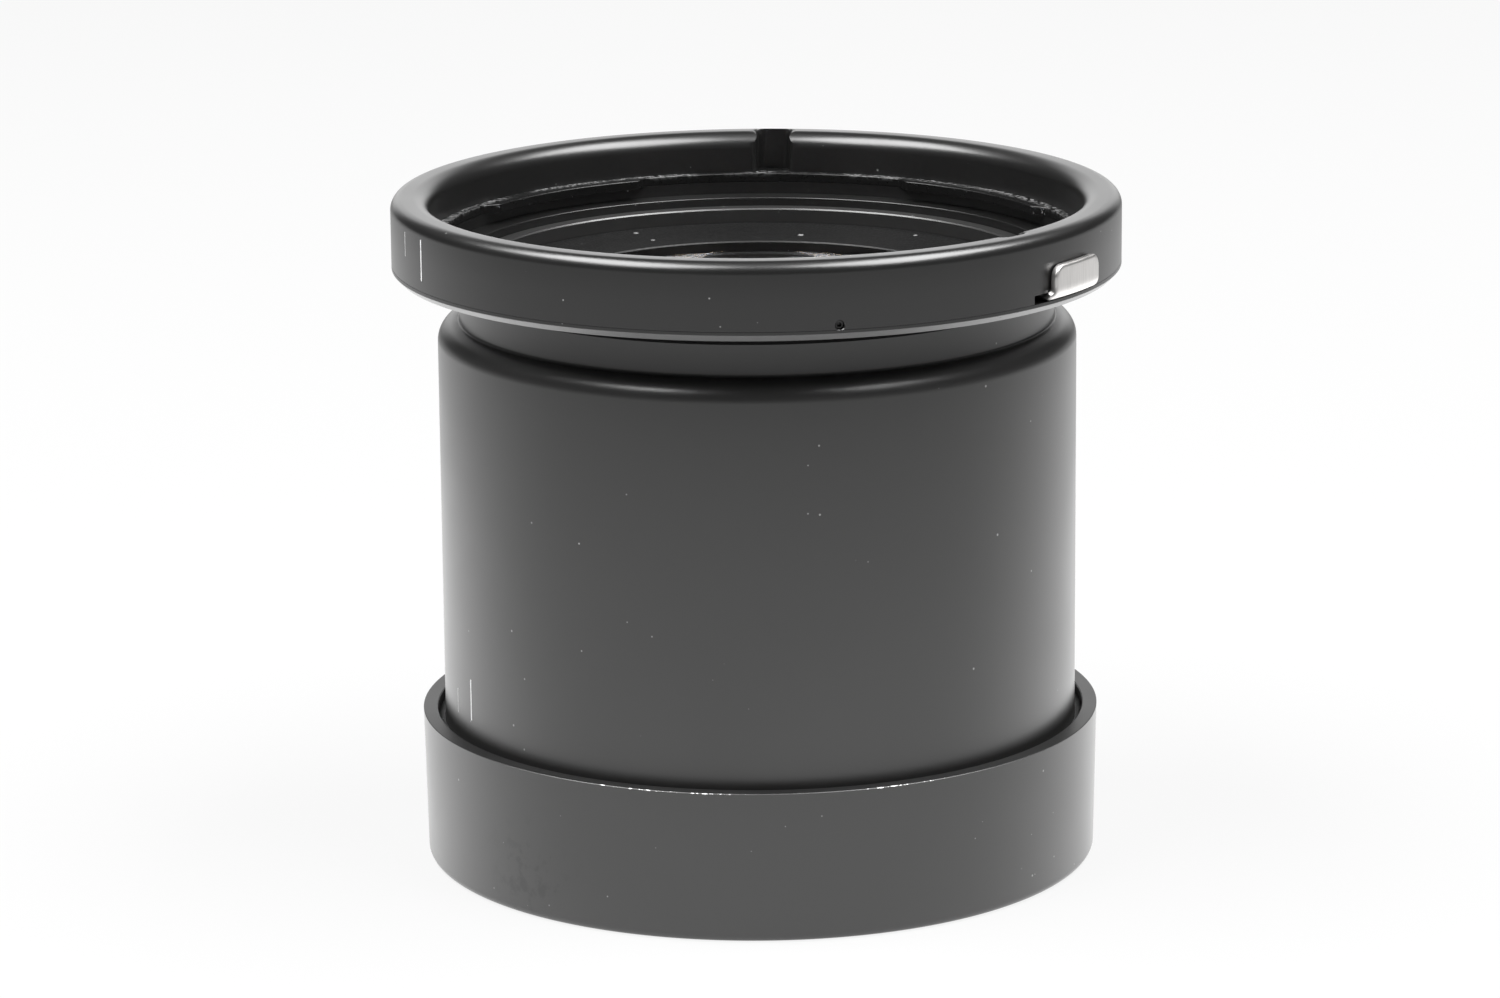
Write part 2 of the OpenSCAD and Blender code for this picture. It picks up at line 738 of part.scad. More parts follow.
// Second glass of the rear pair
module rear_flint_glass() {
  color("#a8b2ba", 0.4)
    glass(lens_r, clear_r, rear_flint_z, rear_flint_edge, -rear_joint_rise, -rear_back_rise);
}

// Tube behind the web, which holds the rear glass and ends in the light shield
module rear_cell() {
  color("#202021") rotate_extrude() difference() {
    union() {
      band(last_clear_r, rear_cell_r, flange_z, rear_stop_z);
      band(last_clear_r, shield_r, shield_z, flange_z + over);
    }
    band(0, last_r + fit_gap, last_z - rear_edge - rear_ring_h, last_z);
    band(0, shield_r - shield_wall, shield_z - over, last_z - rear_edge - rear_ring_h);
  }
}

// Rear glass, hollow in front and bulging behind
module rear_glass() {
  color("#9aa9b6", 0.4) glass(last_r, last_clear_r, last_z, rear_edge, -last_face_rise, last_back_rise);
}

// Ring that holds the rear glass from behind
module rear_retaining_ring() {
  color("#2f2f31") rotate_extrude()
    band(last_clear_r + ring_back, last_r, last_z - rear_edge - rear_ring_h, last_z - rear_edge);
}

// Notch in one lug, which the lock bolt of the other half drops into
module lug_notch() {
  width = bolt_w + 2 * move_gap;
  toward(gap_dir + lock_angle) translate([lug_r - bolt_reach, -width / 2, lug_z - lug_t - over])
    cube([bolt_reach + over, width, lug_t + lug_play + over]);
}

// Rear half of the bayonet: a flange flush with the barrel, a spigot and its lugs
module rear_bayonet() {
  color("#c9c8c4") difference() {
    union() {
      toward(rear_screw_dir) rotate_extrude() {
        band(shield_r + move_gap, barrel_r, seat_z, flange_z);
        band(spigot_r0, spigot_r, lug_z - lug_t, flange_z);
      }
      for (i = [0 : claw_count - 1]) {
        middle = gap_dir + i * claw_pitch;
        sector(middle - lug_angle / 2, middle + lug_angle / 2)
          band(spigot_r - lug_play, lug_r, lug_z - lug_t, lug_z);
      }
    }
    lug_notch();
    around(rear_screw_count, rear_screw_dir)
      translate([rear_screw_ring, 0, lug_z - lug_t]) screw(flange_z - lug_z + lug_t + over, fit_gap);
  }
}

// Screws that hold the rear bayonet to the barrel
module rear_bayonet_screws() {
  color("#8f8e8a") around(rear_screw_count, rear_screw_dir)
    translate([rear_screw_ring, 0, lug_z - lug_t])
      slotted_screw(flange_z + screw_bite - lug_z + lug_t - move_gap);
}

// Turned cap with a tapered side, which the rear of the barrel stands in
module rear_cap() {
  edge_r = cap_foot_r + cap_edge * tan(cap_draft) - cap_edge / cos(cap_draft);
  color("#202021") rotate_extrude() difference() {
    union() {
      polygon([
        [0, 0],
        [edge_r, 0],
        [edge_r + cap_edge * cos(cap_draft), cap_edge - cap_edge * sin(cap_draft)],
        [cap_r1, cap_h],
        [0, cap_h]
      ]);
      translate([edge_r, cap_edge]) circle(r = cap_edge);
    }
    band(0, cap_low_r, cap_floor, cap_h + over);
    band(0, cap_r0, seat_z - cap_seat_gap, cap_h + over);
  }
}

// Felt strip glued inside the cap's mouth, which grips the barrel
module cap_felt() {
  foot = seat_z - cap_seat_gap;
  color("#111112") rotate_extrude() band(barrel_r + felt_gap, cap_r0, foot, cap_h - felt_set);
}

main_barrel();
mount_collar();
collar_base_plate();
bayonet_claw_ring();
collar_screws();
collar_set_screws();
release_lever();
lock_bolt();
lock_bolt_pin();
lever_spring();
lens_cell();
front_retaining_ring();
front_glass();
front_flint_glass();
front_gap_ring();
middle_glass();
rear_gap_ring();
rear_crown_glass();
rear_flint_glass();
rear_cell();
rear_glass();
rear_retaining_ring();
rear_bayonet();
rear_bayonet_screws();
rear_cap();
cap_felt();
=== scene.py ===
# %% [markdown]
# # A medium-format teleconverter on its rear cap
# The object is a stack of turned metal: a black barrel with a narrow neck, a wide collar with an open
# bayonet mouth, a bright thumb lever in the collar's side, and a slip-on cap that the whole thing
# stands in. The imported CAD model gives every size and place. This lesson dresses it: it turns smooth
# meshes in the same places, cuts the slots into them, and gives each surface its finish.

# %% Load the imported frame
import math

import bmesh
import bpy
from mathutils import Matrix, Vector


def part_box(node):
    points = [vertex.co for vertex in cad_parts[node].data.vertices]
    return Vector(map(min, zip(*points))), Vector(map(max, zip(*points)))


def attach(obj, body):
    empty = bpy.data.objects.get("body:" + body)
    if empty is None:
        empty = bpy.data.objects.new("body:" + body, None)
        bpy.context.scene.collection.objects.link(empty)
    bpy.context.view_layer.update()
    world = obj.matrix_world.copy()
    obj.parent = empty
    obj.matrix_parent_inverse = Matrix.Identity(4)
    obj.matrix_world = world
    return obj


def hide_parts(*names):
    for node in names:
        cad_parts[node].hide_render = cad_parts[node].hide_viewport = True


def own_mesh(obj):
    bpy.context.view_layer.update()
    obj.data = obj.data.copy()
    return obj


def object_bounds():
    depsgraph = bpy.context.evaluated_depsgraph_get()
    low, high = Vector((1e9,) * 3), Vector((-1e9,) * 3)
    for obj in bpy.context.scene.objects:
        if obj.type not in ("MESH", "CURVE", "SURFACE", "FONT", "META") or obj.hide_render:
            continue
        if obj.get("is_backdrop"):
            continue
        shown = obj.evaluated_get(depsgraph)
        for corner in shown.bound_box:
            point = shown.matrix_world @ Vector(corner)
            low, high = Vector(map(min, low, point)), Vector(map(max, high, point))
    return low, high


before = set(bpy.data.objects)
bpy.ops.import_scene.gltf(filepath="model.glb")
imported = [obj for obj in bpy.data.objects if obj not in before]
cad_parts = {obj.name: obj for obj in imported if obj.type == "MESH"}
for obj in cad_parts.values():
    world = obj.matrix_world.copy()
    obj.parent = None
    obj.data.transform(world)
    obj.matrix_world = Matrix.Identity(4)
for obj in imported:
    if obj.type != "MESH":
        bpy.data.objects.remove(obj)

MM = 0.001
cad_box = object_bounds()

# %% [markdown]
# ## Reading sizes from the frame
# A turned piece is known by four numbers: the radius of its hole, the radius of its outside, and the
# heights of its foot and top. They can be measured on the vertices of the CAD node, so nothing is typed
# twice. Directions round the axis are angles from the front towards the right, as a maker would mark
# them.


# %% Measure turned nodes
def ring_of(node):
    """Hole radius, outside radius, foot and top of a turned CAD node."""
    radii = [math.hypot(v.co.x, v.co.y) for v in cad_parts[node].data.vertices]
    low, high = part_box(node)
    return min(radii), max(radii), low.z, high.z


def on_ring(radius, direction, height):
    """Point at a radius, a direction from the front and a height."""
    turn = math.radians(direction)
    return Vector((radius * math.sin(turn), -radius * math.cos(turn), height))


bore_r, collar_r, plate_z, rim_z = ring_of("mount_collar")
hub_hole_r, _, hub_z, claw_z = ring_of("collar_base_plate")
claw_r, clamp_r, _, ledge_z = ring_of("bayonet_claw_ring")
web_hole_r, barrel_r, flange_z, neck_top_z = ring_of("main_barrel")
_, cap_r, floor_z, cap_top_z = ring_of("rear_cap")
felt_r, cap_mouth_r, felt_foot_z, felt_top_z = ring_of("cap_felt")
print(f"collar {collar_r / MM:.1f} mm, barrel {barrel_r / MM:.1f} mm, cap {cap_r / MM:.2f} mm in radius")

# %% [markdown]
# ## Small tools for node trees
# Both shader trees and geometry trees are built in code. A helper that adds a node and fills its
# inputs, with plain values or with links, keeps every tree short enough to read as a list of steps.


# %% Node helpers
def place(tree, kind, inputs=None, **settings):
    """Adds a node. Each input takes a value, or the output socket that feeds it."""
    made = tree.nodes.new(kind)
    for key, value in settings.items():
        setattr(made, key, value)
    for key, value in (inputs or {}).items():
        if isinstance(value, bpy.types.NodeSocket):
            tree.links.new(value, made.inputs[key])
        else:
            made.inputs[key].default_value = value
    return made


def maths(tree, operation, first, second=0.0, clamp=False):
    """Output of a Math node."""
    made = place(tree, "ShaderNodeMath", {0: first, 1: second}, operation=operation, use_clamp=clamp)
    return made.outputs[0]


def product(tree, first, second, clamp=False):
    return maths(tree, "MULTIPLY", first, second, clamp)


def total(tree, first, second):
    return maths(tree, "ADD", first, second)


def ramp(tree, value, from_low, from_high, to_low=0.0, to_high=1.0):
    """Value mapped smoothly from one range to another."""
    limits = {"From Min": from_low, "From Max": from_high, "To Min": to_low, "To Max": to_high}
    made = place(tree, "ShaderNodeMapRange", {"Value": value, **limits}, interpolation_type="SMOOTHSTEP")
    return made.outputs[0]


def mixed(tree, factor, first, second):
    """Colour mixed from two."""
    inputs = {0: factor, 6: first, 7: second}
    return place(tree, "ShaderNodeMix", inputs, data_type="RGBA").outputs[2]


def vectors(tree, operation, first, *second):
    """Output of a Vector Math node: a vector, or the value of a length or a distance."""
    made = place(tree, "ShaderNodeVectorMath", dict(enumerate((first, *second))), operation=operation)
    return made.outputs["Value" if operation in ("LENGTH", "DISTANCE") else "Vector"]


def noise(tree, where, scale, detail, roughness=0.5, distortion=0.0):
    """Output of a Noise Texture."""
    inputs = {"Vector": where, "Scale": scale, "Detail": detail}
    inputs |= {"Roughness": roughness, "Distortion": distortion}
    return place(tree, "ShaderNodeTexNoise", inputs).outputs[0]


def grey(level, warmth=0.0):
    """Linear colour near grey, warmer above zero and cooler below it."""
    return (level * (1 + warmth), level, level * (1 - warmth), 1)


def open_group(name, kind, inputs, outputs):
    """New node group with named sockets, and its input and output nodes."""
    tree = bpy.data.node_groups.new(name, kind)
    for title, socket_type, value in inputs:
        socket = tree.interface.new_socket(title, in_out="INPUT", socket_type=socket_type)
        if value is not None:
            socket.default_value = value
    for title, socket_type in outputs:
        tree.interface.new_socket(title, in_out="OUTPUT", socket_type=socket_type)
    return tree, place(tree, "NodeGroupInput").outputs, place(tree, "NodeGroupOutput").inputs


print("node helpers ready")

# %% [markdown]
# ## Shared surface effects
# Four effects turn up on most of the metal. The lathe leaves fine rings, which follow height and
# radius. Dust settles as pale specks. Hands leave soft smudges. Sharp edges lose their black skin in
# chips. Each is a shader group that puts out a mask or a height, and every material places it with its
# own values.

# %% Turning marks
FLOAT = "NodeSocketFloat"


def effect_group(name, output, **inputs):
    """New shader group with number inputs and one number output."""
    sockets = [(key.replace("_", " "), FLOAT, value) for key, value in inputs.items()]
    return open_group(name, "ShaderNodeTree", sockets, [(output, FLOAT)])


def object_point(tree):
    """Object coordinates: the vector, its height and its distance from the axis."""
    point = place(tree, "ShaderNodeTexCoord").outputs["Object"]
    parts = place(tree, "ShaderNodeSeparateXYZ", {0: point}).outputs
    flat = place(tree, "ShaderNodeCombineXYZ", {"X": parts["X"], "Y": parts["Y"]}).outputs[0]
    return point, parts, vectors(tree, "LENGTH", flat)


def shifted(tree, shift, axes):
    """Object coordinates moved along some axes, so that no two materials share a pattern."""
    move = place(tree, "ShaderNodeCombineXYZ", {axis: shift for axis in axes}).outputs[0]
    return vectors(tree, "ADD", object_point(tree)[0], move)


def turning_marks_group():
    tree, given, result = effect_group("Turning Marks", "Height", Lines_per_Metre=5000)
    point, parts, radius = object_point(tree)
    radius_share, drift_scale = 1.7, (14, 14, 0)
    slanted = product(tree, radius, radius_share)
    along = product(tree, total(tree, parts["Z"], slanted), given["Lines per Metre"])
    drift = vectors(tree, "MULTIPLY", point, drift_scale)
    lines = place(tree, "ShaderNodeCombineXYZ", {"Z": along}).outputs[0]
    tree.links.new(noise(tree, vectors(tree, "ADD", drift, lines), 1.0, 2.0), result["Height"])
    return tree


turning_marks = turning_marks_group()
print("group:", turning_marks.name)

# %% [markdown]
# Dust is a field of cells with one speck in each. A random share of the cells keeps its speck, and each
# speck has a random size, so that no two look stamped.


# %% Dust specks
def dust_specks_group():
    tree, given, result = effect_group(
        "Dust Specks", "Mask", Cells_per_Metre=300, Size=0.1, Share=0.1, Shift=0)
    where = shifted(tree, given["Shift"], "XZ")
    cells = place(tree, "ShaderNodeTexVoronoi", {"Vector": where, "Scale": given["Cells per Metre"]})
    chance = place(tree, "ShaderNodeSeparateColor", {0: cells.outputs["Color"]}).outputs
    chosen = maths(tree, "LESS_THAN", chance["Red"], given["Share"])
    reach = product(tree, chance["Green"], given["Size"])
    outwards = maths(tree, "DIVIDE", cells.outputs["Distance"], reach)
    inside = maths(tree, "SUBTRACT", 1.0, outwards, clamp=True)
    sharp = product(tree, inside, 2.5, clamp=True)
    tree.links.new(product(tree, chosen, sharp), result["Mask"])
    return tree


dust_specks = dust_specks_group()
print("group:", dust_specks.name)

# %% [markdown]
# Smudges are broad and soft, so a slow noise makes them. Chips belong to an edge: a band round its height
# and radius, broken up by a fine noise.


# %% Smudges and chips
def smudges_group():
    tree, given, result = effect_group("Hand Smudges", "Unevenness", Patches_per_Metre=30, Shift=0)
    where = shifted(tree, given["Shift"], "YZ")
    patches = noise(tree, where, given["Patches per Metre"], 3.0, 0.45, 0.6)
    tree.links.new(maths(tree, "SUBTRACT", patches, 0.5), result["Unevenness"])
    return tree


def chips_group():
    tree, given, result = effect_group(
        "Edge Chips", "Mask", Edge_Height=0, Edge_Radius=0, Band=0.0003, Chips_per_Metre=900,
        Least_Noise=0.6, Knocked=1)
    point, parts, radius = object_point(tree)
    off_height = maths(tree, "ABSOLUTE", maths(tree, "SUBTRACT", parts["Z"], given["Edge Height"]))
    off_radius = maths(tree, "ABSOLUTE", maths(tree, "SUBTRACT", radius, given["Edge Radius"]))
    away = maths(tree, "DIVIDE", total(tree, off_height, off_radius), given["Band"])
    near = maths(tree, "SUBTRACT", 1.0, away, clamp=True)
    fine = noise(tree, point, given["Chips per Metre"], 3.0, 0.7)
    edge_band = product(tree, product(tree, fine, near), given["Knocked"])
    tree.links.new(maths(tree, "GREATER_THAN", edge_band, given["Least Noise"]), result["Mask"])
    return tree


smudges = smudges_group()
chips = chips_group()
print("groups:", smudges.name, "and", chips.name)

# %% [markdown]
# ## Black anodised metal
# Anodising leaves a hard satin skin on aluminium. It is nearly black, so almost all of the light on it
# is reflection: dim where the metal faces the camera, and white where it turns away. The base colour
# stays dark, the roughness carries the satin and never falls below a set value, and the groups add
# rings, smudges and dust. Four pieces share the recipe with other values, so it is one function.


# %% Helpers for materials
def use_group(tree, group, **values):
    """Places a shader group and returns its only output."""
    inputs = {key.replace("_", " "): value for key, value in values.items()}
    return place(tree, "ShaderNodeGroup", inputs, node_tree=group).outputs[0]


def new_material(name, **constants):
    """Material with a Principled BSDF whose constant sockets are set."""
    material = bpy.data.materials.new(name)
    material.use_nodes = True
    tree = material.node_tree
    shader = tree.nodes["Principled BSDF"]
    for key, value in constants.items():
        shader.inputs[key.replace("_", " ")].default_value = value
    return material, tree, shader.inputs


def feed(tree, shader, **outputs):
    """Links outputs to the shader's sockets."""
    for key, output in outputs.items():
        tree.links.new(output, shader[key.replace("_", " ")])


def fed_by(shader, socket):
    """Output that feeds a socket now, so that another layer can go over it."""
    return shader[socket].links[0].from_socket


def bumped(tree, height, distance):
    """Normal pushed about by a height."""
    inputs = {"Height": height, "Distance": distance, "Strength": 1.0}
    return place(tree, "ShaderNodeBump", inputs).outputs[0]


print("material helpers ready")

# %% [markdown]
# The recipe itself comes next. Dust has two layers, few coarse specks over many fine ones. The plate under
# the collar gets a second colour over the first: a painted highlight in grey along its chamfer, where the
# bright floor is reflected.

# %% Anodised blacks
OXIDE_IOR = 1.77
SMOOTHEST, SMUDGE_GLOSS = 0.285, -0.15
DUST_GREY, DUST_DULL = grey(0.5), 0.4
COARSE_SHARE, FINE_STRENGTH, FINE_SHIFT = 0.2, 0.5, 0.05
RING_DEPTH = 0.4e-6


def anodised(name, colour, roughness, dust_share=0.10, shift=0.0):
    """Satin black skin with lathe rings, smudges and dust."""
    material, tree, shader = new_material(name, IOR=OXIDE_IOR)
    rings = use_group(tree, turning_marks, Lines_per_Metre=2600.0)
    smudge = use_group(tree, smudges, Patches_per_Metre=34.0, Shift=shift)
    coarse = use_group(tree, dust_specks, Cells_per_Metre=300.0, Size=0.07,
                       Share=dust_share * COARSE_SHARE, Shift=shift)
    fine = use_group(tree, dust_specks, Cells_per_Metre=700.0, Size=0.13, Share=dust_share,
                     Shift=shift + FINE_SHIFT)
    dust = maths(tree, "MAXIMUM", coarse, product(tree, fine, FINE_STRENGTH))
    uneven = total(tree, roughness, product(tree, smudge, SMUDGE_GLOSS))
    satin = maths(tree, "MAXIMUM", uneven, SMOOTHEST)
    feed(tree, shader, Base_Color=mixed(tree, dust, colour, DUST_GREY),
         Roughness=total(tree, satin, product(tree, dust, DUST_DULL)),
         Normal=bumped(tree, rings, RING_DEPTH))
    return material, tree, shader


barrel_black = anodised("Barrel black", grey(0.020, 0.01), 0.34)[0]
collar_black = anodised("Collar black", grey(0.008, 0.01), 0.30, dust_share=0.16, shift=0.31)[0]


def plate_skin():
    """Base plate black, with a painted highlight in grey along the chamfer of its foot."""
    material, tree, shader = anodised("Base plate black", grey(0.005, 0.01), 0.32, shift=0.52)
    _, parts, radius = object_point(tree)
    highlight_low, highlight_high, highlight_inner, highlight_outer = 0.38 * MM, 0.34 * MM, 0.9 * MM, 0.8 * MM
    highlight_grey = grey(0.105)
    # Painted highlight: a grey band on the foot's chamfer stands for the floor's light reflected there.
    low = ramp(tree, parts["Z"], plate_z - highlight_low, plate_z - highlight_high, 1.0, 0.0)
    edge_band = product(tree, low, ramp(tree, radius, collar_r - highlight_inner, collar_r - highlight_outer))
    feed(tree, shader, Base_Color=mixed(tree, edge_band, fed_by(shader, "Base Color"), highlight_grey))
    return material


plate_black = plate_skin()
print("materials:", barrel_black.name, collar_black.name, plate_black.name)

# %% [markdown]
# ## The cap's worn black, with painted shade on its lip
# The cap is slid on and off and set down on tables, so its skin is a little greyer, its lip has lost chips
# of black down to bare metal, and dark scuffs gather low on the side. The flat top of its lip is painted
# dark as shade, in the scuffs' colour. A chip changes colour and metalness together, and a scuff and the
# painted shade each change colour and gloss, so each mask drives two sockets.


# %% Cap material
def near_spot(tree, point, spot, reach):
    """One at a spot, fading to zero at its reach."""
    core = 0.2 * reach
    return ramp(tree, vectors(tree, "DISTANCE", point, spot), core, reach, 1.0, 0.0)


def worn_and_shaded_cap_black():
    knock_spots, knock_gain, knock_base = [(-15, 15 * MM), (26, 9 * MM)], 0.35, 0.72
    scuff_at, scuff_reach = on_ring(cap_r, -42, 5.0 * MM), 10 * MM
    scuff_noise, scuff_most, lip_shade_most = (0.5, 0.64), 0.55, 0.85
    lip_shade_low, lip_shade_high = cap_top_z - 0.07 * MM, cap_top_z - 0.05 * MM
    scuff_and_shade_black, chip_grey, chip_metal, scuff_dull = grey(0.002), grey(0.6), 0.5, 0.12
    material, tree, shader = anodised("Cap black", grey(0.020, 0.01), 0.35, dust_share=0.18, shift=0.77)
    point, parts, _ = object_point(tree)
    knocks = [near_spot(tree, point, on_ring(cap_r, d, cap_top_z), reach) for d, reach in knock_spots]
    knocked = total(tree, product(tree, maths(tree, "MAXIMUM", *knocks), knock_gain), knock_base)
    lost = use_group(tree, chips, Edge_Height=cap_top_z, Edge_Radius=cap_r, Band=0.5 * MM,
                     Chips_per_Metre=1300.0, Least_Noise=0.48, Knocked=knocked)
    blotch = noise(tree, point, 420.0, 4.0, 0.65)
    low_left = near_spot(tree, point, scuff_at, scuff_reach)
    scuffed = product(tree, low_left, ramp(tree, blotch, *scuff_noise, 0.0, scuff_most))
    # Painted shade: the flat top of the lip is darkened towards black, as if shaded.
    painted_lip_shade = ramp(tree, parts["Z"], lip_shade_low, lip_shade_high, 0.0, lip_shade_most)
    dark = maths(tree, "MAXIMUM", scuffed, painted_lip_shade)
    skin = mixed(tree, dark, fed_by(shader, "Base Color"), scuff_and_shade_black)
    feed(tree, shader, Base_Color=mixed(tree, lost, skin, chip_grey),
         Metallic=product(tree, lost, chip_metal),
         Roughness=total(tree, fed_by(shader, "Roughness"), product(tree, dark, scuff_dull)))
    return material


cap_black = worn_and_shaded_cap_black()
print("material:", cap_black.name)

# %% [markdown]
# ## Inner finishes
# Light must not bounce about inside, so the cells and rings are a dull, slightly grainy black. The claw
# ring is chemically blackened and a bit smoother. Crumbs of dust lie in the corner where the claws meet
# the bore wall, which a band on radius and height picks out.

# %% Inner blacks
MOST_NOISE = 0.3, 0.7


def dull_black(name, level, roughness, crumbs=0.0):
    """Dull inner black with grain and lathe rings, and dust in the bore's corner."""
    crumb_r, crumb_reach, crumb_grey = bore_r - 0.2 * MM, 1.5 * MM, grey(0.42)
    crumb_noise, heap_noise, dust_strength = (0.47, 0.56), (0.36, 0.52), 0.5
    smoother, rougher, grain_share, depth = 0.05, 0.08, 0.5, 0.8e-6
    material, tree, shader = new_material(name, Specular_IOR_Level=0.35)
    point, parts, radius = object_point(tree)
    grain = noise(tree, point, 2600.0, 2.0)
    rings = use_group(tree, turning_marks, Lines_per_Metre=3600.0)
    dust = use_group(tree, dust_specks, Cells_per_Metre=420.0, Size=0.22, Share=0.3, Shift=0.13)
    off_wall = maths(tree, "ABSOLUTE", maths(tree, "SUBTRACT", radius, crumb_r))
    off_ledge = maths(tree, "ABSOLUTE", maths(tree, "SUBTRACT", parts["Z"], ledge_z))
    corner = ramp(tree, total(tree, off_wall, off_ledge), 0.0, crumb_reach, crumbs, 0.0)
    loose = noise(tree, point, 1900.0, 4.0)
    heaps = noise(tree, point, 120.0, 2.0)
    lying = product(tree, ramp(tree, loose, *crumb_noise), ramp(tree, heaps, *heap_noise))
    crumbly = product(tree, corner, lying)
    soiled = maths(tree, "MAXIMUM", product(tree, dust, dust_strength), crumbly)
    height = total(tree, rings, product(tree, grain, grain_share))
    feed(tree, shader, Base_Color=mixed(tree, soiled, grey(level), crumb_grey),
         Roughness=ramp(tree, grain, *MOST_NOISE, roughness - smoother, roughness + rougher),
         Normal=bumped(tree, height, depth))
    return material


claw_black = dull_black("Blackened claw ring", 0.006, 0.32, crumbs=0.65)
inner_black = dull_black("Inner black", 0.006, 0.55)
ring_black = dull_black("Retaining ring black", 0.004, 0.44)
print("materials:", claw_black.name, inner_black.name, ring_black.name)

# %% [markdown]
# ## Bare metals
# The thumb tab is bright steel with fine upright brushing. Screws are darker steel, and the rear
# bayonet is plated brass, smooth with rings from the lathe. Metalness is one all over, so it is set on
# the shader's socket. The grain only moves roughness, colour and a very shallow bump.


# %% Metals
def bare_metal(name, colour, roughness, stretch, depth):
    """Metal with brushing stretched along one way."""
    grain_dark, dark_noise, blot_noise = 0.9, (0.35, 0.7), (0.4, 0.7)
    smoother, rougher, blot_rougher = 0.05, 0.07, 0.06
    material, tree, shader = new_material(name, Metallic=1.0)
    point = object_point(tree)[0]
    grain = noise(tree, vectors(tree, "MULTIPLY", point, stretch), 1.0, 4.0, 0.6)
    blot = noise(tree, point, 260.0, 3.0)
    dark = tuple(grain_dark * c for c in colour[:3]) + (1,)
    worn = total(tree, ramp(tree, grain, *MOST_NOISE, roughness - smoother, roughness + rougher),
                 ramp(tree, blot, *blot_noise, 0.0, blot_rougher))
    feed(tree, shader, Base_Color=mixed(tree, ramp(tree, grain, *dark_noise), colour, dark),
         Roughness=worn, Normal=bumped(tree, grain, depth))
    return material


tab_steel = bare_metal("Brushed tab steel", grey(0.78, 0.02), 0.37, (7000, 7000, 250), 0.3e-6)
bolt_steel = bare_metal("Bolt steel", grey(0.46, 0.02), 0.36, (2500, 2500, 2500), 0.5e-6)
screw_steel = bare_metal("Dark screw steel", grey(0.10), 0.38, (4000, 4000, 800), 0.8e-6)
plated_brass = bare_metal("Plated bayonet", grey(0.66, 0.03), 0.24, (60, 60, 5000), 0.5e-6)
print("materials:", tab_steel.name, bolt_steel.name, screw_steel.name, plated_brass.name)

# %% [markdown]
# ## Glass, felt and paint
# The outer glasses carry a thin coating that tints their reflections, so they get a thin film on the
# shader. The inner ones are plain. Felt is a dull, fuzzy black with sheen. The index lines are engraved
# and filled with white paint, which has worn thin in places.


# %% Glass
def lens_glass(name, tint, ior, film):
    """Clear glass; film is the coating's thickness in nanometres."""
    film_ior, coated_shine, plain_shine = 1.38, 0.12, 0.5
    dust_grey, dust_dull = grey(0.6), 0.5
    material, tree, shader = new_material(
        name, Transmission_Weight=1.0, IOR=ior, Thin_Film_Thickness=film, Thin_Film_IOR=film_ior,
        Specular_IOR_Level=coated_shine if film else plain_shine)
    dust = use_group(tree, dust_specks, Cells_per_Metre=240.0, Size=0.06, Share=0.12, Shift=0.4)
    feed(tree, shader, Base_Color=mixed(tree, dust, tint, dust_grey),
         Roughness=product(tree, dust, dust_dull))
    return material


coated_glass = lens_glass("Coated glass", (0.84, 0.84, 0.88, 1), 1.62, 104.0)
plain_glass = lens_glass("Plain glass", (0.98, 0.99, 0.98, 1), 1.60, 0.0)
print("materials:", coated_glass.name, plain_glass.name)

# %% [markdown]
# Felt has no shine, only sheen from its loose fibres. The paint is matt white, greyer where it is thin.


# %% Felt and paint
def felt_black():
    deep_black, loose_black, lint_grey, fuzz_depth = grey(0.006), grey(0.022), grey(0.3), 0.05 * MM
    material, tree, shader = new_material(
        "Black felt", Specular_IOR_Level=0.2, Sheen_Weight=0.25, Sheen_Roughness=0.6)
    fuzz = noise(tree, object_point(tree)[0], 4200.0, 4.0)
    lint = use_group(tree, dust_specks, Cells_per_Metre=700.0, Size=0.2, Share=0.25, Shift=0.9)
    fibre = mixed(tree, fuzz, deep_black, loose_black)
    feed(tree, shader, Base_Color=mixed(tree, lint, fibre, lint_grey),
         Roughness=ramp(tree, fuzz, *MOST_NOISE, 0.85, 1.0), Normal=bumped(tree, fuzz, fuzz_depth))
    return material


def index_paint():
    full_white, thin_grey, thin_noise = grey(0.80), grey(0.42), (0.58, 0.75)
    material, tree, shader = new_material("White index paint", Specular_IOR_Level=0.4)
    thin = noise(tree, object_point(tree)[0], 2200.0, 3.0)
    feed(tree, shader, Base_Color=mixed(tree, ramp(tree, thin, *thin_noise), full_white, thin_grey),
         Roughness=ramp(tree, thin, *MOST_NOISE, 0.4, 0.6))
    return material


felt_fuzz = felt_black()
line_paint = index_paint()
print("materials:", felt_fuzz.name, line_paint.name)

# %% [markdown]
# ## Turning pieces with Geometry Nodes
# A lathe holds one rule: an outline, spun about the axis. The tree takes the outline as a chain of
# edges, makes it a curve, and sweeps it round a small circle with Curve to Mesh. The outline is shifted
# in by the circle's radius first, so radii come out true. Points on the axis are merged, so that poles
# are closed.

# %% The lathe tree
AXLE_R = 1 * MM
WELD = 0.5e-6
TURN_STEPS = 256
GEOMETRY, INT = "NodeSocketGeometry", "NodeSocketInt"


def shape_tree(name, taken, made, sizes):
    """New geometry tree that takes a mesh, some sizes and a material, and makes one mesh."""
    inputs = [(taken, GEOMETRY, None), *sizes, ("Material", "NodeSocketMaterial", None)]
    return open_group(name, "GeometryNodeTree", inputs, [(made, GEOMETRY)])


def real_and_painted(tree, geometry, given):
    """Last two steps of every tree: real meshes, then the material."""
    whole = place(tree, "GeometryNodeRealizeInstances", {"Geometry": geometry}).outputs[0]
    inputs = {"Geometry": whole, "Material": given["Material"]}
    return place(tree, "GeometryNodeSetMaterial", inputs).outputs[0]


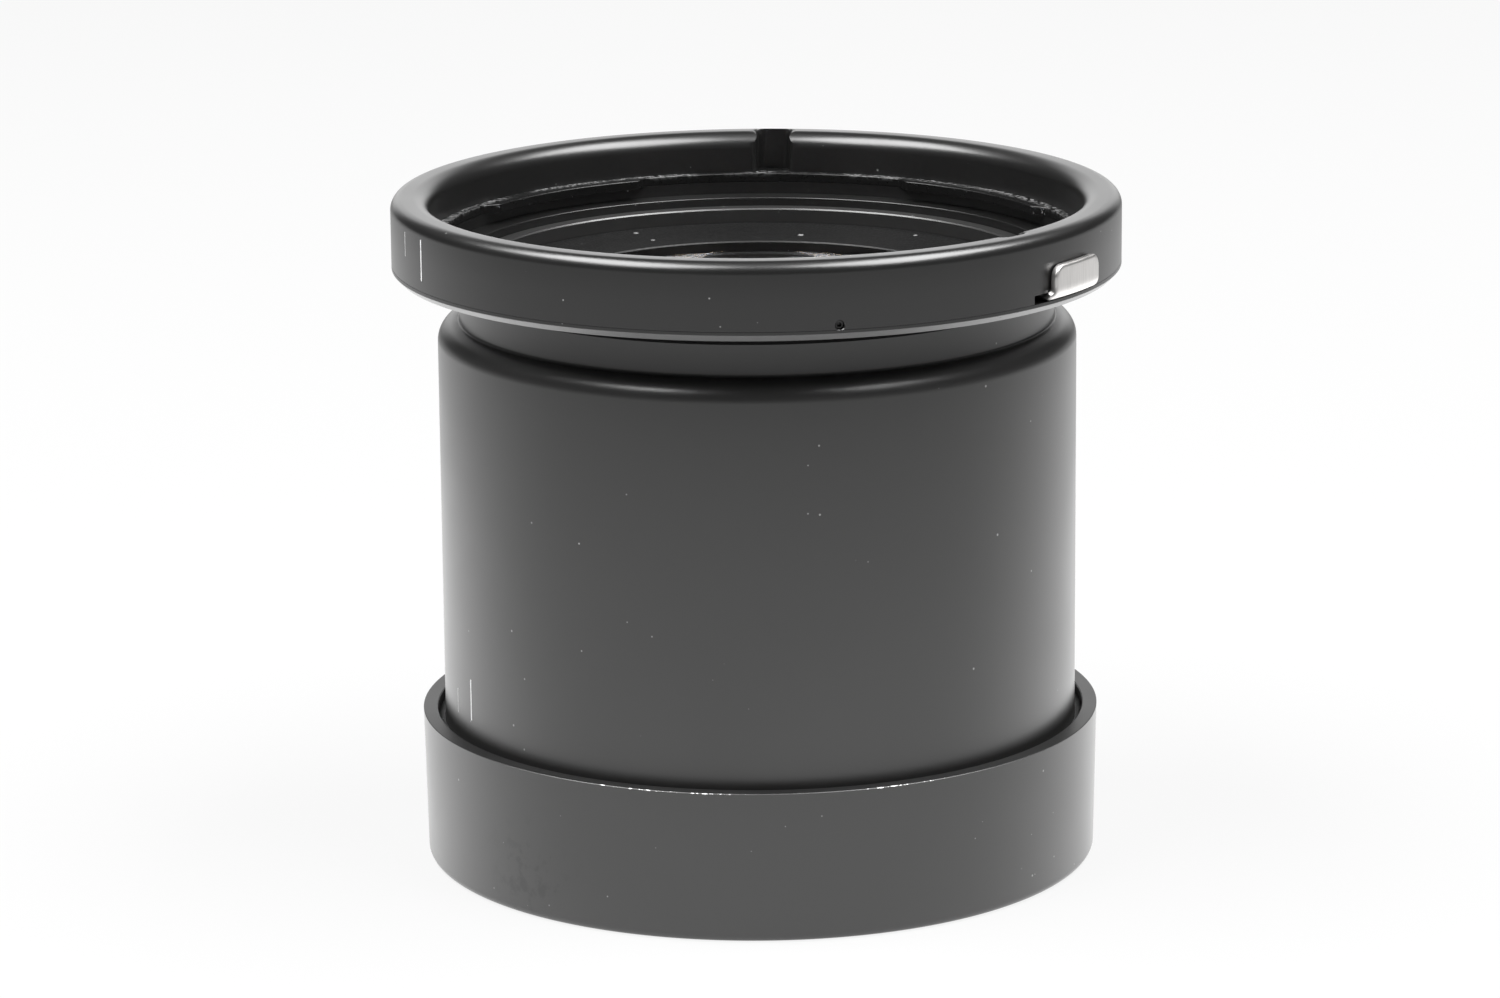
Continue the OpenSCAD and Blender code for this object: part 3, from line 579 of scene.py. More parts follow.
def lathe_tree():
    tree, given, result = shape_tree("Lathe", "Outline", "Piece", [("Segments", INT, TURN_STEPS)])
    chain = place(tree, "GeometryNodeMeshToCurve", {"Mesh": given["Outline"]}).outputs["Curve"]
    upright = place(tree, "GeometryNodeTransform", {
        "Geometry": chain, "Translation": (-AXLE_R, 0, 0), "Rotation": (math.pi / 2, 0, 0)}).outputs[0]
    path = place(tree, "GeometryNodeCurvePrimitiveCircle", {
        "Resolution": given["Segments"], "Radius": AXLE_R})
    spun = place(tree, "GeometryNodeCurveToMesh", {
        "Curve": path.outputs["Curve"], "Profile Curve": upright}).outputs["Mesh"]
    welded = place(tree, "GeometryNodeMergeByDistance", {"Geometry": spun, "Distance": WELD}).outputs[0]
    tree.links.new(real_and_painted(tree, welded, given), result["Piece"])
    return tree


lathe = lathe_tree()
print("tree:", lathe.name)

# %% [markdown]
# ## From tree to plain mesh
# The modifier's inputs are set by their identifiers before the object is evaluated. Then the result
# becomes a plain mesh and the modifier goes. Every mesh ends the same way: doubles merged, normals
# outwards, smooth shading with sharp edges where two faces meet at more than a set angle.

# %% Finish a mesh
SHARP = math.radians(32)


def new_object(name, data):
    """Object in the scene from a mesh, a lamp or a camera."""
    piece = bpy.data.objects.new(name, data)
    bpy.context.scene.collection.objects.link(piece)
    return piece


def new_mesh(name, points, faces, material=None):
    mesh = bpy.data.meshes.new(name)
    mesh.from_pydata([tuple(p) for p in points], [], faces)
    if material:
        mesh.materials.append(material)
    return mesh


def settle(piece):
    """Turns modifiers into a plain mesh and removes them."""
    bpy.context.view_layer.update()
    evaluated = piece.evaluated_get(bpy.context.evaluated_depsgraph_get())
    mesh = bpy.data.meshes.new_from_object(evaluated)
    piece.modifiers.clear()
    piece.data = mesh
    return piece


def tidy(piece):
    """Merges doubles, points the faces outwards and shades the mesh."""
    work = bmesh.new()
    work.from_mesh(piece.data)
    bmesh.ops.remove_doubles(work, verts=work.verts, dist=WELD)
    bmesh.ops.dissolve_degenerate(work, edges=work.edges, dist=WELD)
    bmesh.ops.recalc_face_normals(work, faces=work.faces)
    work.to_mesh(piece.data)
    work.free()
    piece.data.shade_smooth()
    piece.data.set_sharp_from_angle(angle=SHARP)
    return piece


def run_tree(name, mesh, tree, **values):
    """Object made by a geometry tree from a mesh."""
    piece = new_object(name, mesh)
    modifier = piece.modifiers.new(tree.name, "NODES")
    modifier.node_group = tree
    for item in tree.interface.items_tree:
        if item.in_out == "INPUT" and item.name in values:
            modifier[item.identifier] = values[item.name]
    return tidy(settle(piece))


print("finishing steps ready")

# %% [markdown]
# ## Outlines, and pieces that stand for CAD nodes
# An outline is a list of points, with arcs where the metal is rounded. A finished piece rides on its body
# and takes the place of its CAD node.


# %% Outlines for the lathe
def arc(centre_r, centre_z, radius, first, last, steps):
    """Points of an arc in the plane of radius and height, angles in degrees."""
    turns = [math.radians(first + (last - first) * i / steps) for i in range(steps + 1)]
    return [(centre_r + radius * math.cos(t), centre_z + radius * math.sin(t)) for t in turns]


def turned(name, outline, material, closed=True, segments=TURN_STEPS):
    """Piece turned from an outline of (radius, height) points."""
    count = len(outline)
    edges = [(i, (i + 1) % count) for i in range(count if closed else count - 1)]
    mesh = bpy.data.meshes.new(name)
    mesh.from_pydata([(r, 0, z) for r, z in outline], edges, [])
    return run_tree(name, mesh, lathe, Segments=segments, Material=material)


def report(piece):
    """Prints a piece's faces and size."""
    low = [min(c[k] for c in piece.bound_box) / MM for k in range(3)]
    high = [max(c[k] for c in piece.bound_box) / MM for k in range(3)]
    size = " x ".join(f"{b - a:.1f}" for a, b in zip(low, high))
    print(f"{piece.name}: {len(piece.data.polygons)} faces, {size} mm")


def dress(piece, node, body="converter"):
    """Lets a piece stand for its CAD node on a body."""
    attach(piece, body)
    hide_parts(node)
    report(piece)


print("lathe ready,", TURN_STEPS, "steps to a turn")

# %% [markdown]
# ## Cutting slots
# A keyway or a drilled hole is not round about the axis, so it is cut out of the turned piece. Each
# cutter is a small closed block: a straight prism, or a sector of a ring. All cutters of a piece go
# into one mesh, and one exact Boolean takes them off. Where a cut edge shows, a narrow bevel breaks it,
# as a file does.

# %% Cutters
EDGE_ANGLE = math.radians(40)


def band(here, there, count):
    """Faces between two closed rows of points, given by the index of each row's first point."""
    return [(here + i, here + (i + 1) % count, there + (i + 1) % count, there + i) for i in range(count)]


def lofted(levels):
    """Closed block through flat outlines of one length at rising heights, as (points, faces)."""
    count, top = len(levels[0][0]), len(levels) - 1
    points = [(x, y, z) for outline, z in levels for x, y in outline]
    faces = [tuple(range(count - 1, -1, -1)), tuple(range(top * count, (top + 1) * count))]
    for k in range(top):
        faces += band(k * count, (k + 1) * count, count)
    return points, faces


def prism(outline, low, high):
    """Closed prism over a flat outline."""
    return lofted([(outline, low), (outline, high)])


def spun_block(outline):
    """Closed turned block from an outline that starts and ends on the axis."""
    piece = turned("block", outline, None, closed=False, segments=32)
    block = [tuple(v.co) for v in piece.data.vertices], [tuple(f.vertices) for f in piece.data.polygons]
    bpy.data.objects.remove(piece)
    return block


def ring_sector(inner, outer, low, high, first, last, steps=24):
    """Closed block of a ring between two directions from the front."""
    turns = [first + (last - first) * i / steps for i in range(steps + 1)]
    outline = [on_ring(outer, t, 0)[:2] for t in turns]
    return prism(outline + [on_ring(inner, t, 0)[:2] for t in reversed(turns)], low, high)


def bar(first, last, width):
    """Flat outline of a bar along X."""
    return [(first, -width / 2), (last, -width / 2), (last, width / 2), (first, width / 2)]


def laid_down(block):
    """Block that stands on the axis, laid along +X."""
    points, faces = block
    return [(z, x, y) for x, y, z in points], faces


def aimed(block, direction, radius, height=0.0):
    """Block built along +X, moved out to a radius and turned to a direction."""
    turn = Matrix.Rotation(math.radians(direction - 90), 4, "Z") @ Matrix.Translation((radius, 0, height))
    points, faces = block
    return [tuple(turn @ Vector(p)) for p in points], faces


def drilled(radius, length, steps):
    """Cylinder along +X from the origin."""
    return laid_down(prism(arc(0, 0, radius, 0, 360, steps)[:-1], 0, length))


def merged_mesh(name, blocks, material=None):
    """One mesh from closed blocks."""
    points, faces = [], []
    for block_points, block_faces in blocks:
        start = len(points)
        points += block_points
        faces += [tuple(start + i for i in face) for face in block_faces]
    return new_mesh(name, points, faces, material)


def combine(piece, blocks, operation):
    """Adds closed blocks to a piece, or takes them off, with one exact Boolean."""
    tool = tidy(new_object(piece.name + ".tool", merged_mesh(piece.name + ".tool", blocks)))
    boolean = piece.modifiers.new("Combine", "BOOLEAN")
    boolean.operation, boolean.solver, boolean.object = operation, "EXACT", tool
    settle(piece)
    bpy.data.objects.remove(tool)
    return tidy(piece)


def cut(piece, blocks):
    return combine(piece, blocks, "DIFFERENCE")


def break_edges(piece, width, steps=2):
    """Narrow bevel on every edge sharper than a set angle."""
    bevel = piece.modifiers.new("Edges", "BEVEL")
    bevel.width, bevel.segments = width, steps
    bevel.limit_method, bevel.angle_limit = "ANGLE", EDGE_ANGLE
    bevel.use_clamp_overlap = True
    settle(piece)
    return tidy(piece)


print("cutters ready")

# %% [markdown]
# ## Barrel
# The barrel is one turned piece: a straight side, a rounded shoulder, and a narrow neck that ends in a
# thread inside the collar. It could be stacked from cylinders, but a single outline keeps the shoulder
# tangent to the side, so the reflection runs over it without a seam.

# %% Turn the barrel
EDGE = 0.12 * MM
FIT = 0.02 * MM
shoulder = 2.7 * MM
neck_r = barrel_r - shoulder
neck_foot_z = hub_z - 4.3 * MM
thread_r = hub_hole_r - FIT
cell_r = ring_of("lens_cell")[1] + FIT
cell_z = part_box("lens_cell")[0].z
rear_stop_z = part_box("rear_cell")[1].z
rear_cell_r = ring_of("rear_cell")[1] + FIT
land = 8 * MM
wall = 2.5 * MM
front_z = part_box("front_retaining_ring")[0].z
neck_edge, joint_v = 0.16 * MM, 0.42 * MM
neck_fillet, fillet_lift = 0.35 * MM, 0.3 * MM
neck_thread_d, neck_pitch, thread_start = 0.15 * MM, 0.5 * MM, 0.1 * MM


def thread(radius, depth, pitch, low, high):
    """Zigzag of a fine thread up a wall; a negative depth cuts outwards."""
    turns = int((high - low) / pitch)
    steps = [(low + pitch * i / 2, depth * (i % 2)) for i in range(2 * turns + 1)]
    return [(radius - cut_in, z) for z, cut_in in steps]


def barrel_outline():
    outside = [(barrel_r - EDGE, flange_z), (barrel_r, flange_z + EDGE)]
    outside += arc(barrel_r - shoulder, neck_foot_z - shoulder, shoulder, 0, 84, 14)
    outside += arc(neck_r + neck_fillet, neck_foot_z + fillet_lift, neck_fillet, 255, 180, 5)
    outside += [(neck_r, hub_z - joint_v), (neck_r - joint_v, hub_z), (thread_r, hub_z)]
    outside += thread(thread_r, neck_thread_d, neck_pitch, hub_z + thread_start, neck_top_z - neck_edge)
    outside += [(thread_r - neck_edge, neck_top_z), (cell_r + neck_edge, neck_top_z)]
    inside = [(cell_r, neck_top_z - neck_edge), (cell_r, front_z - land)]
    inside += [(barrel_r - wall, front_z - land), (barrel_r - wall, cell_z + land), (cell_r, cell_z + land)]
    inside += [(cell_r, cell_z), (web_hole_r, cell_z), (web_hole_r, rear_stop_z)]
    return outside + inside + [(rear_cell_r, rear_stop_z), (rear_cell_r, flange_z)]


dress(turned("barrel", barrel_outline(), barrel_black), "main_barrel")

# %% [markdown]
# ## Collar
# The collar is a short tube with a rounded rim, tight on the outside and fuller on the inside. The
# keyway at the back and the shallow notch at the front right are milled down to the claws. Low in the
# side are the slot that the lever comes out of and three small holes for the set screws.

# %% Turn and cut the collar
rim_outer, rim_inner = 1.5 * MM, 2.1 * MM
skirt_r = collar_r - 2.0 * MM
keyway_w, keyway_corner, keyway_round = 4.0 * MM, 0.9 * MM, 0.95 * MM
rim_cuts = {176.8: 3.4 * MM, 46.4: 2.1 * MM}
slot_first, slot_last, slot_h = 46.92, 63.28, 1.1 * MM
set_screws, set_first, set_r, set_z = 3, 12.4, 0.55 * MM, plate_z + 0.57 * MM
collar_edge = 0.05 * MM
side_rows = (1.35 * MM, 1.7 * MM, 2.4 * MM, 3.6 * MM)
roll_steps = 6
OVER = 1 * MM


def collar_outline():
    outline = [(collar_r - collar_edge, plate_z), (collar_r, plate_z + collar_edge)]
    outline += [(collar_r, plate_z + height) for height in side_rows]
    outline += arc(collar_r - rim_outer, rim_z - rim_outer, rim_outer, 0, 90, 12)
    outline += arc(bore_r + rim_inner, rim_z - rim_inner, rim_inner, 90, 180, 14)
    return outline + [(bore_r, ledge_z), (skirt_r, ledge_z), (skirt_r, plate_z)]


def slot_outline(depth, spread):
    """Flat outline of a rim slot along +X: a flared mouth, straight sides, round far corners."""
    half, flare = keyway_w / 2 + spread, keyway_round
    far = max(flare, depth - keyway_corner - spread)
    side = [(-OVER, -half - flare)]
    side += arc(flare, -half - flare, flare, 180, 90, 5)
    side += arc(far, keyway_corner - keyway_w / 2, keyway_corner + spread, -90, 0, 6)
    return side + [(x, -y) for x, y in reversed(side)]


def rim_slot(depth):
    """Slot through the rim whose upper edge is rolled over."""
    roll = [math.radians(90 / roll_steps * k) for k in range(roll_steps + 1)]
    levels = [(ledge_z - OVER / 10, 0)]
    levels += [(rim_z - keyway_round * (1 - math.sin(t)), keyway_round * (1 - math.cos(t))) for t in roll]
    levels.append((rim_z + OVER, keyway_round))
    return lofted([(slot_outline(depth, spread), z) for z, spread in levels])


def set_screw_hole():
    """Drilled hole along +X with a small countersink where it leaves the wall."""
    wall_at, sink = collar_r - skirt_r + OVER, 0.1 * MM
    outline = [(0, 0), (set_r, 0), (set_r, wall_at - sink), (set_r + sink + OVER, wall_at + OVER)]
    return laid_down(spun_block(outline + [(0, wall_at + OVER)]))


def collar_cutters():
    blocks = [aimed(rim_slot(depth), direction, bore_r) for direction, depth in rim_cuts.items()]
    blocks.append(ring_sector(skirt_r - OVER, collar_r + OVER, plate_z - OVER, plate_z + slot_h,
                              slot_first, slot_last))
    for i in range(set_screws):
        blocks.append(aimed(set_screw_hole(), set_first + 360 / set_screws * i, skirt_r - OVER, set_z))
    return blocks


collar = cut(turned("collar", collar_outline(), collar_black), collar_cutters())
dress(collar, "mount_collar")

# %% [markdown]
# ## Sizes around the base plate
# The plate under the collar carries the lug groove, the lever's pocket and the bolt's channel, and six
# screws clamp it, the claw ring and the collar together. These are the sizes that those pieces share.

# %% Plate sizes
plate_foot_z = plate_z - 1.16 * MM
foot_chamfer, hub_chamfer = 0.75 * MM, 0.3 * MM
hub_r = neck_r + 0.65 * MM
gap_r = bore_r - 1.1 * MM
groove_z = claw_z - 1.5 * MM
pocket_r = gap_r + 0.5 * MM
lever_low, lever_high = 49.91, 63.09
spring_room = 19.47
bolt_direction, bolt_w, bolt_play = 55, 3.0 * MM, 0.15 * MM
bolt_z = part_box("lock_bolt")[0].z
screws, screw_first, screw_ring = 6, 18, (bore_r + skirt_r) / 2
screw_r, head_r, head_h = 1.0 * MM, 1.8 * MM, 0.9 * MM
screw_top_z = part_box("collar_screws")[1].z


def screw_path():
    """Countersunk hole for one clamp screw, from below the plate up into the collar."""
    loose_r, loose_head = screw_r + FIT, head_r + FIT
    spare = 0.2 * MM
    below, above = plate_foot_z - OVER, screw_top_z + spare
    return spun_block([(0, below), (loose_head, below), (loose_head, plate_foot_z),
                       (loose_r, plate_foot_z + head_h), (loose_r, above), (0, above)])


screw_paths = [aimed(screw_path(), screw_first + 360 / screws * i, screw_ring) for i in range(screws)]
print(screws, "screws on a ring of radius", round(screw_ring / MM, 2), "mm")

# %% [markdown]
# ## Pieces whose outline changes round the turn
# The claw ring, the base plate and the rear bayonet are turned, then milled, so their outline depends on
# the direction. Each is built as one closed skin: an outline at each step, joined to the next. A claw, a
# lug or a pocket is a step in the outline with short rounded ends, which is close to what the mill
# leaves.

# %% Skin from changing outlines
EVEN_STEPS = 288


def skinned(name, sections, material):
    """Closed piece from a direction and its outline of (radius, height) points for each step."""
    turns, count = len(sections), len(sections[0][1])
    points = [on_ring(r, d, z) for d, section in sections for r, z in section]
    faces = []
    for i in range(turns):
        faces += band(i * count, (i + 1) % turns * count, count)
    return tidy(new_object(name, new_mesh(name, points, faces, material)))


def step_up(direction, centres, width, ramp_angle):
    """One inside the sectors round the centres, zero outside, with smooth short ends."""
    near = min(abs((direction - c + 180) % 360 - 180) for c in centres)
    t = min(max((width / 2 - near) / ramp_angle + 0.5, 0), 1)
    return t * t * (3 - 2 * t)


def directions_with_steps(centres, width, ramp_angle):
    """Even directions, with more of them at the ends of the sectors."""
    found = {round(360 * i / EVEN_STEPS, 4) for i in range(EVEN_STEPS)}
    for c in centres:
        for end in (c - width / 2, c + width / 2):
            found |= {round((end + ramp_angle * (k / 8 - 0.5)) % 360, 4) for k in range(9)}
    return found


print("skins take", EVEN_STEPS, "even steps to a turn, and more at the ends of a sector")

# %% [markdown]
# ## Claw ring
# Four claws reach in from the ring under the collar's rim, with gaps between them for the lugs of a
# lens. The six clamp screws pass through it, so their paths are cut here and in the base plate.

# %% Skin the claw ring
claw_count, gap_direction, claw_w = 4, 176.5, 38
claw_centres = [gap_direction + (i + 0.5) * 360 / claw_count for i in range(claw_count)]


def claw_ring():
    ramp_angle, lip = 3.2, 0.07 * MM
    sections = []
    for d in sorted(directions_with_steps(claw_centres, claw_w, ramp_angle)):
        inner = gap_r + (claw_r - gap_r) * step_up(d, claw_centres, claw_w, ramp_angle)
        sections.append((d, [
            (inner + lip, ledge_z), (inner, ledge_z - lip), (inner, claw_z + lip), (inner + lip, claw_z),
            (clamp_r, claw_z), (clamp_r, ledge_z)]))
    return skinned("claw_ring", sections, claw_black)


dress(cut(claw_ring(), screw_paths), "bayonet_claw_ring")

# %% [markdown]
# ## Base plate
# Under the collar sits a plate with a chamfered foot and a hub that screws onto the neck. Its upper
# side is the floor of the lug groove, with a pocket for the lever and a channel for the bolt, which are
# two more steps in the outline. Six countersinks in its underside take the screws.

# %% Skin the base plate
hub_outline = [(hub_hole_r, hub_z), (hub_r - hub_chamfer, hub_z), (hub_r, hub_z + hub_chamfer),
               (hub_r, plate_foot_z)]
foot_outline = [(collar_r - foot_chamfer, plate_foot_z), (collar_r, plate_foot_z + foot_chamfer),
                (collar_r, plate_z)]
lip_round = 0.12 * MM
groove_lip = arc(hub_hole_r + lip_round, groove_z - lip_round, lip_round, 90, 180, 4)
pocket_w = slot_last - lever_low + spring_room
channel_z = bolt_z - bolt_play / 2


def base_plate():
    ramp_angle = 0.4
    pocket = [slot_last - pocket_w / 2]
    channel_w = math.degrees((bolt_w + bolt_play) / pocket_r)
    steps = directions_with_steps(pocket, pocket_w, ramp_angle)
    steps |= directions_with_steps([bolt_direction], channel_w, ramp_angle)
    sections = []
    for d in sorted(steps):
        land_z = claw_z - (claw_z - plate_z) * step_up(d, pocket, pocket_w, ramp_angle)
        wall_z = claw_z - (claw_z - channel_z) * step_up(d, [bolt_direction], channel_w, ramp_angle)
        top = [(clamp_r, plate_z), (clamp_r, land_z), (pocket_r, land_z), (pocket_r, wall_z),
               (gap_r, wall_z), (gap_r, groove_z)]
        sections.append((d, hub_outline + foot_outline + top + groove_lip))
    return skinned("base_plate", sections, plate_black)


dress(cut(base_plate(), screw_paths), "collar_base_plate")

# %% [markdown]
# ## Rear bayonet
# The rear half of the mount is the mirror of the front one: a flange flush with the barrel, a spigot,
# and four lugs that turn under the claws of a camera body. One lug has a notch for the lock bolt.

# %% Skin the rear bayonet
bayonet_hole_r, _, lug_foot_z, _ = ring_of("rear_bayonet")
mount_play, spigot_wall, seat_t, lug_t = 0.2 * MM, 4.5 * MM, 1.2 * MM, 1.2 * MM
spigot_r, lug_r = claw_r - mount_play, gap_r - mount_play
spigot_hole_r = spigot_r - spigot_wall
seat_z = flange_z - seat_t
lug_top_z = lug_foot_z + lug_t
lug_w, notch_offset, notch_play, notch_d = 48, 13.5, 0.3 * MM, 1.0 * MM
lug_centres = [gap_direction + i * 360 / claw_count for i in range(claw_count)]


def rear_bayonet():
    ramp_angle, lip = 0.6, 0.12 * MM
    notch_w = math.degrees((bolt_w + notch_play) / lug_r)
    notch = [gap_direction + notch_offset]
    steps = directions_with_steps(lug_centres, lug_w, ramp_angle)
    steps |= directions_with_steps(notch, notch_w, ramp_angle)
    sections = []
    for d in sorted(steps):
        full = step_up(d, lug_centres, lug_w, ramp_angle)
        lug = spigot_r + (lug_r - spigot_r) * full - notch_d * step_up(d, notch, notch_w, ramp_angle)
        soft = lip * full
        sections.append((d, [
            (bayonet_hole_r, flange_z), (bayonet_hole_r, seat_z), (spigot_hole_r, seat_z),
            (spigot_hole_r, lug_foot_z + lip), (spigot_hole_r + lip, lug_foot_z), (lug - lip, lug_foot_z),
            (lug, lug_foot_z + lip), (lug, lug_top_z - soft), (lug - soft, lug_top_z),
            (spigot_r, lug_top_z), (spigot_r, seat_z), (barrel_r - EDGE, seat_z),
            (barrel_r, seat_z + EDGE), (barrel_r, flange_z)]))
    return skinned("rear_bayonet_mount", sections, plated_brass)


dress(rear_bayonet(), "rear_bayonet")

# %% [markdown]
# ## Screws in a ring
# Screws repeat, so Geometry Nodes place them: points on a circle, one screw on each, turned to face
# along its radius and then spun by a seeded random angle, because no fitter stops every slot at the
# same place.


# %% The screw ring tree
def screw_ring_tree():
    sizes = [("Count", INT, 6), ("Ring Radius", FLOAT, 0.04), ("First Angle", FLOAT, 0.0),
             ("Height", FLOAT, 0.0), ("Slot Spread", FLOAT, 0.0), ("Seed", INT, 7)]
    tree, given, result = shape_tree("Screw Ring", "Screw", "Screws", sizes)
    index = place(tree, "GeometryNodeInputIndex").outputs[0]
    share = maths(tree, "DIVIDE", index, given["Count"])
    angle = total(tree, given["First Angle"], product(tree, share, math.tau))
    across = product(tree, given["Ring Radius"], maths(tree, "COSINE", angle))
    back = product(tree, given["Ring Radius"], maths(tree, "SINE", angle))
    spot = place(tree, "ShaderNodeCombineXYZ", {"X": across, "Y": back, "Z": given["Height"]}).outputs[0]
    points = place(tree, "GeometryNodePoints", {"Count": given["Count"], "Position": spot}).outputs[0]
    chance = place(tree, "FunctionNodeRandomValue", {"Seed": given["Seed"]}, data_type="FLOAT").outputs[1]
    spin = total(tree, angle, product(tree, chance, given["Slot Spread"]))
    turn = place(tree, "ShaderNodeCombineXYZ", {"Z": spin}).outputs[0]
    placed = place(tree, "GeometryNodeInstanceOnPoints", {
        "Points": points, "Instance": given["Screw"], "Rotation": turn}).outputs[0]
    tree.links.new(real_and_painted(tree, placed, given), result["Screws"])
    return tree


screw_ring_nodes = screw_ring_tree()
print("tree:", screw_ring_nodes.name)

# %% [markdown]
# One screw is turned with a conical head and a zigzag thread, and a bar is cut across its head for the
# slot. It stands on its head, as it does in the underside of the plate.

# %% One slotted screw
head_edge, head_rim, screw_tip = 0.1 * MM, 0.08 * MM, 0.3 * MM
fine_thread_d, screw_pitch, screw_plain = 0.12 * MM, 0.4 * MM, 0.2 * MM
slot_w, slot_d = 0.5 * MM, 0.3 * MM


def countersunk(length):
    """Countersunk screw standing on its head, with a slot."""
    outline = [(0, 0), (head_r - head_edge, 0), (head_r, head_rim), (screw_r, head_h)]
    outline += thread(screw_r, fine_thread_d, screw_pitch, head_h + screw_plain, length - screw_tip)
    outline += [(screw_r - screw_tip, length), (0, length)]
    screw = turned("one_screw", outline, screw_steel, closed=False, segments=32)
    return cut(screw, [prism(bar(-2 * head_r, 2 * head_r, slot_w), -OVER, slot_d)])


def ring_of_screws(name, screw, count, radius, first, height, spread=0.0, seed=7):
    """Runs the screw ring tree on a screw's mesh and drops the loose screw."""
    mesh = screw.data.copy()
    bpy.data.objects.remove(screw)
    return run_tree(name, mesh, screw_ring_nodes, **{
        "Count": count, "Ring Radius": radius, "First Angle": math.radians(first - 90), "Height": height,
        "Slot Spread": spread, "Seed": seed, "Material": screw_steel})


collar_length = screw_top_z - plate_foot_z
collar_ring = ring_of_screws("collar_clamp_screws", countersunk(collar_length), screws, screw_ring,
                             screw_first, plate_foot_z, math.tau)
dress(collar_ring, "collar_screws")

# %% [markdown]
# The rear bayonet's screws come from the same two tools. The set screws in the collar's side have no head:
# each is a short rod along its radius, with a hexagonal socket and narrow broken edges.

# %% Rear screws and set screws
rear_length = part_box("rear_bayonet_screws")[1].z - lug_foot_z
rear_ring = ring_of_screws("rear_mount_screws", countersunk(rear_length), claw_count,
                           (spigot_r + spigot_hole_r) / 2, gap_direction + 180 / claw_count,
                           lug_foot_z, math.tau, seed=3)
dress(rear_ring, "rear_bayonet_screws")
narrow_bevel = 0.06 * MM


def set_screw():
    """Headless screw along +X, with a hexagonal socket in its outer end."""
    length, socket_r, socket_d = 1.5 * MM, 0.28 * MM, 0.5 * MM
    body = merged_mesh("one_set_screw", [drilled(set_r - FIT, length, 24)])
    screw = tidy(new_object("one_set_screw", body))
    cut(screw, [aimed(drilled(socket_r, length, 6), 90, length - socket_d)])
    return break_edges(screw, narrow_bevel, 1)


set_ring = ring_of_screws("collar_grub_screws", set_screw(), set_screws, skirt_r, set_first, set_z)
dress(set_ring, "collar_set_screws")

# %% [markdown]
# ## Release lever
# The lever is one bent sheet: a plate that slides in the pocket, a bend, and the thumb tab. It is built
# as a sheet that follows a rule. Rows run along the bent path, columns run across, the top follows two
# round corners, and the sheet thins towards its edge so that the rim is rounded like a stamped part.
# Above the bend the tab's left side steps in a little, over a flared foot.

# %% Bend the lever
lever_t, tab_extra, tab_corner, bend_r, rim_round = 0.8 * MM, 0.2 * MM, 1.6 * MM, 0.9 * MM, 0.34 * MM
lever_low_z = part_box("release_lever")[0].z
tab_top_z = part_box("release_lever")[1].z
tab_r = ring_of("release_lever")[1]
lever_inner_r = pocket_r + 0.15 * MM
middle_r, middle_z = tab_r - lever_t / 2, lever_low_z + lever_t / 2
lever_w = math.radians(lever_high - lever_low) * tab_r
lever_flat = middle_r - bend_r - lever_inner_r
lever_bend = math.pi / 2 * bend_r
lever_full = lever_flat + lever_bend + tab_top_z - middle_z - bend_r
tab_inset, foot_flare, flare_from = 0.45 * MM, 0.9 * MM, 0.6
near_edge = [f * MM for f in (0, 0.03, 0.07, 0.12, 0.2, 0.32, 0.5, 0.75, 1.05, 1.4, 1.8)]


def lever_path(length):
    """Point and outward normal on the sheet's middle, a length along it from the inner edge."""
    if length <= lever_flat:
        return (lever_inner_r + length, middle_z), (0, -1)
    if length <= lever_flat + lever_bend:
        t = (length - lever_flat) / bend_r
        spot = (middle_r - bend_r + bend_r * math.sin(t), middle_z + bend_r - bend_r * math.cos(t))
        return spot, (math.sin(t), -math.cos(t))
    return (middle_r, middle_z + bend_r + length - lever_flat - lever_bend), (1, 0)


def lever_rows(side):
    """Lengths along one column of the sheet, up to the round corner at its top."""
    fine = near_edge[:7]
    drop = tab_corner - math.sqrt(max(tab_corner**2 - max(tab_corner - side, 0) ** 2, 0))
    end = lever_full - drop
    rest = end - lever_flat - lever_bend - fine[-1]
    rows = fine + [lever_flat * k / 6 for k in range(2, 6)]
    rows += [lever_flat + lever_bend * k / 8 for k in range(9)]
    rows += [lever_flat + lever_bend + rest * (k / 6) for k in range(1, 6)]
    return rows + [end - f for f in reversed(fine)]


def half_thickness(side, along):
    """Half of the sheet's thickness, which falls off to a round rim at its edge."""
    past = max(tab_corner - side, 0), max(along - (lever_full - tab_corner), 0)
    to_edge = min(side, along, lever_full - along)
    if past[0] > 0 and past[1] > 0:
        to_edge = min(to_edge, tab_corner - math.hypot(*past))
    near = min(max(to_edge / rim_round, 0), 1)
    return lever_t / 2 - rim_round * (1 - math.sqrt(1 - (1 - near) ** 2))


def step_in(across, along):
    """How far the tab's left side steps in above its foot."""
    above = min(max((along - lever_flat - lever_bend * flare_from) / foot_flare, 0), 1)
    return tab_inset * math.sqrt(1 - (1 - above) ** 2) * (1 - across / lever_w)


def lever_sheet():
    """Points of the sheet's outer and inner skin, and the columns and rows of each."""
    columns = near_edge + [lever_w * k / 8 for k in range(2, 7)]
    columns += [lever_w - f for f in reversed(near_edge)]
    outer, inner = [], []
    for across in columns:
        side = min(across, lever_w - across)
        rows = lever_rows(side)
        for along in rows:
            turn = lever_low + math.degrees((across + step_in(across, along)) / tab_r)
            (r, z), (nr, nz) = lever_path(along)
            half = half_thickness(side, along)
            back = half + tab_extra * nr
            outer.append(on_ring(r + nr * half, turn, z + nz * half))
            inner.append(on_ring(r - nr * back, turn, z - nz * back))
    return outer, inner, len(columns), len(rows)


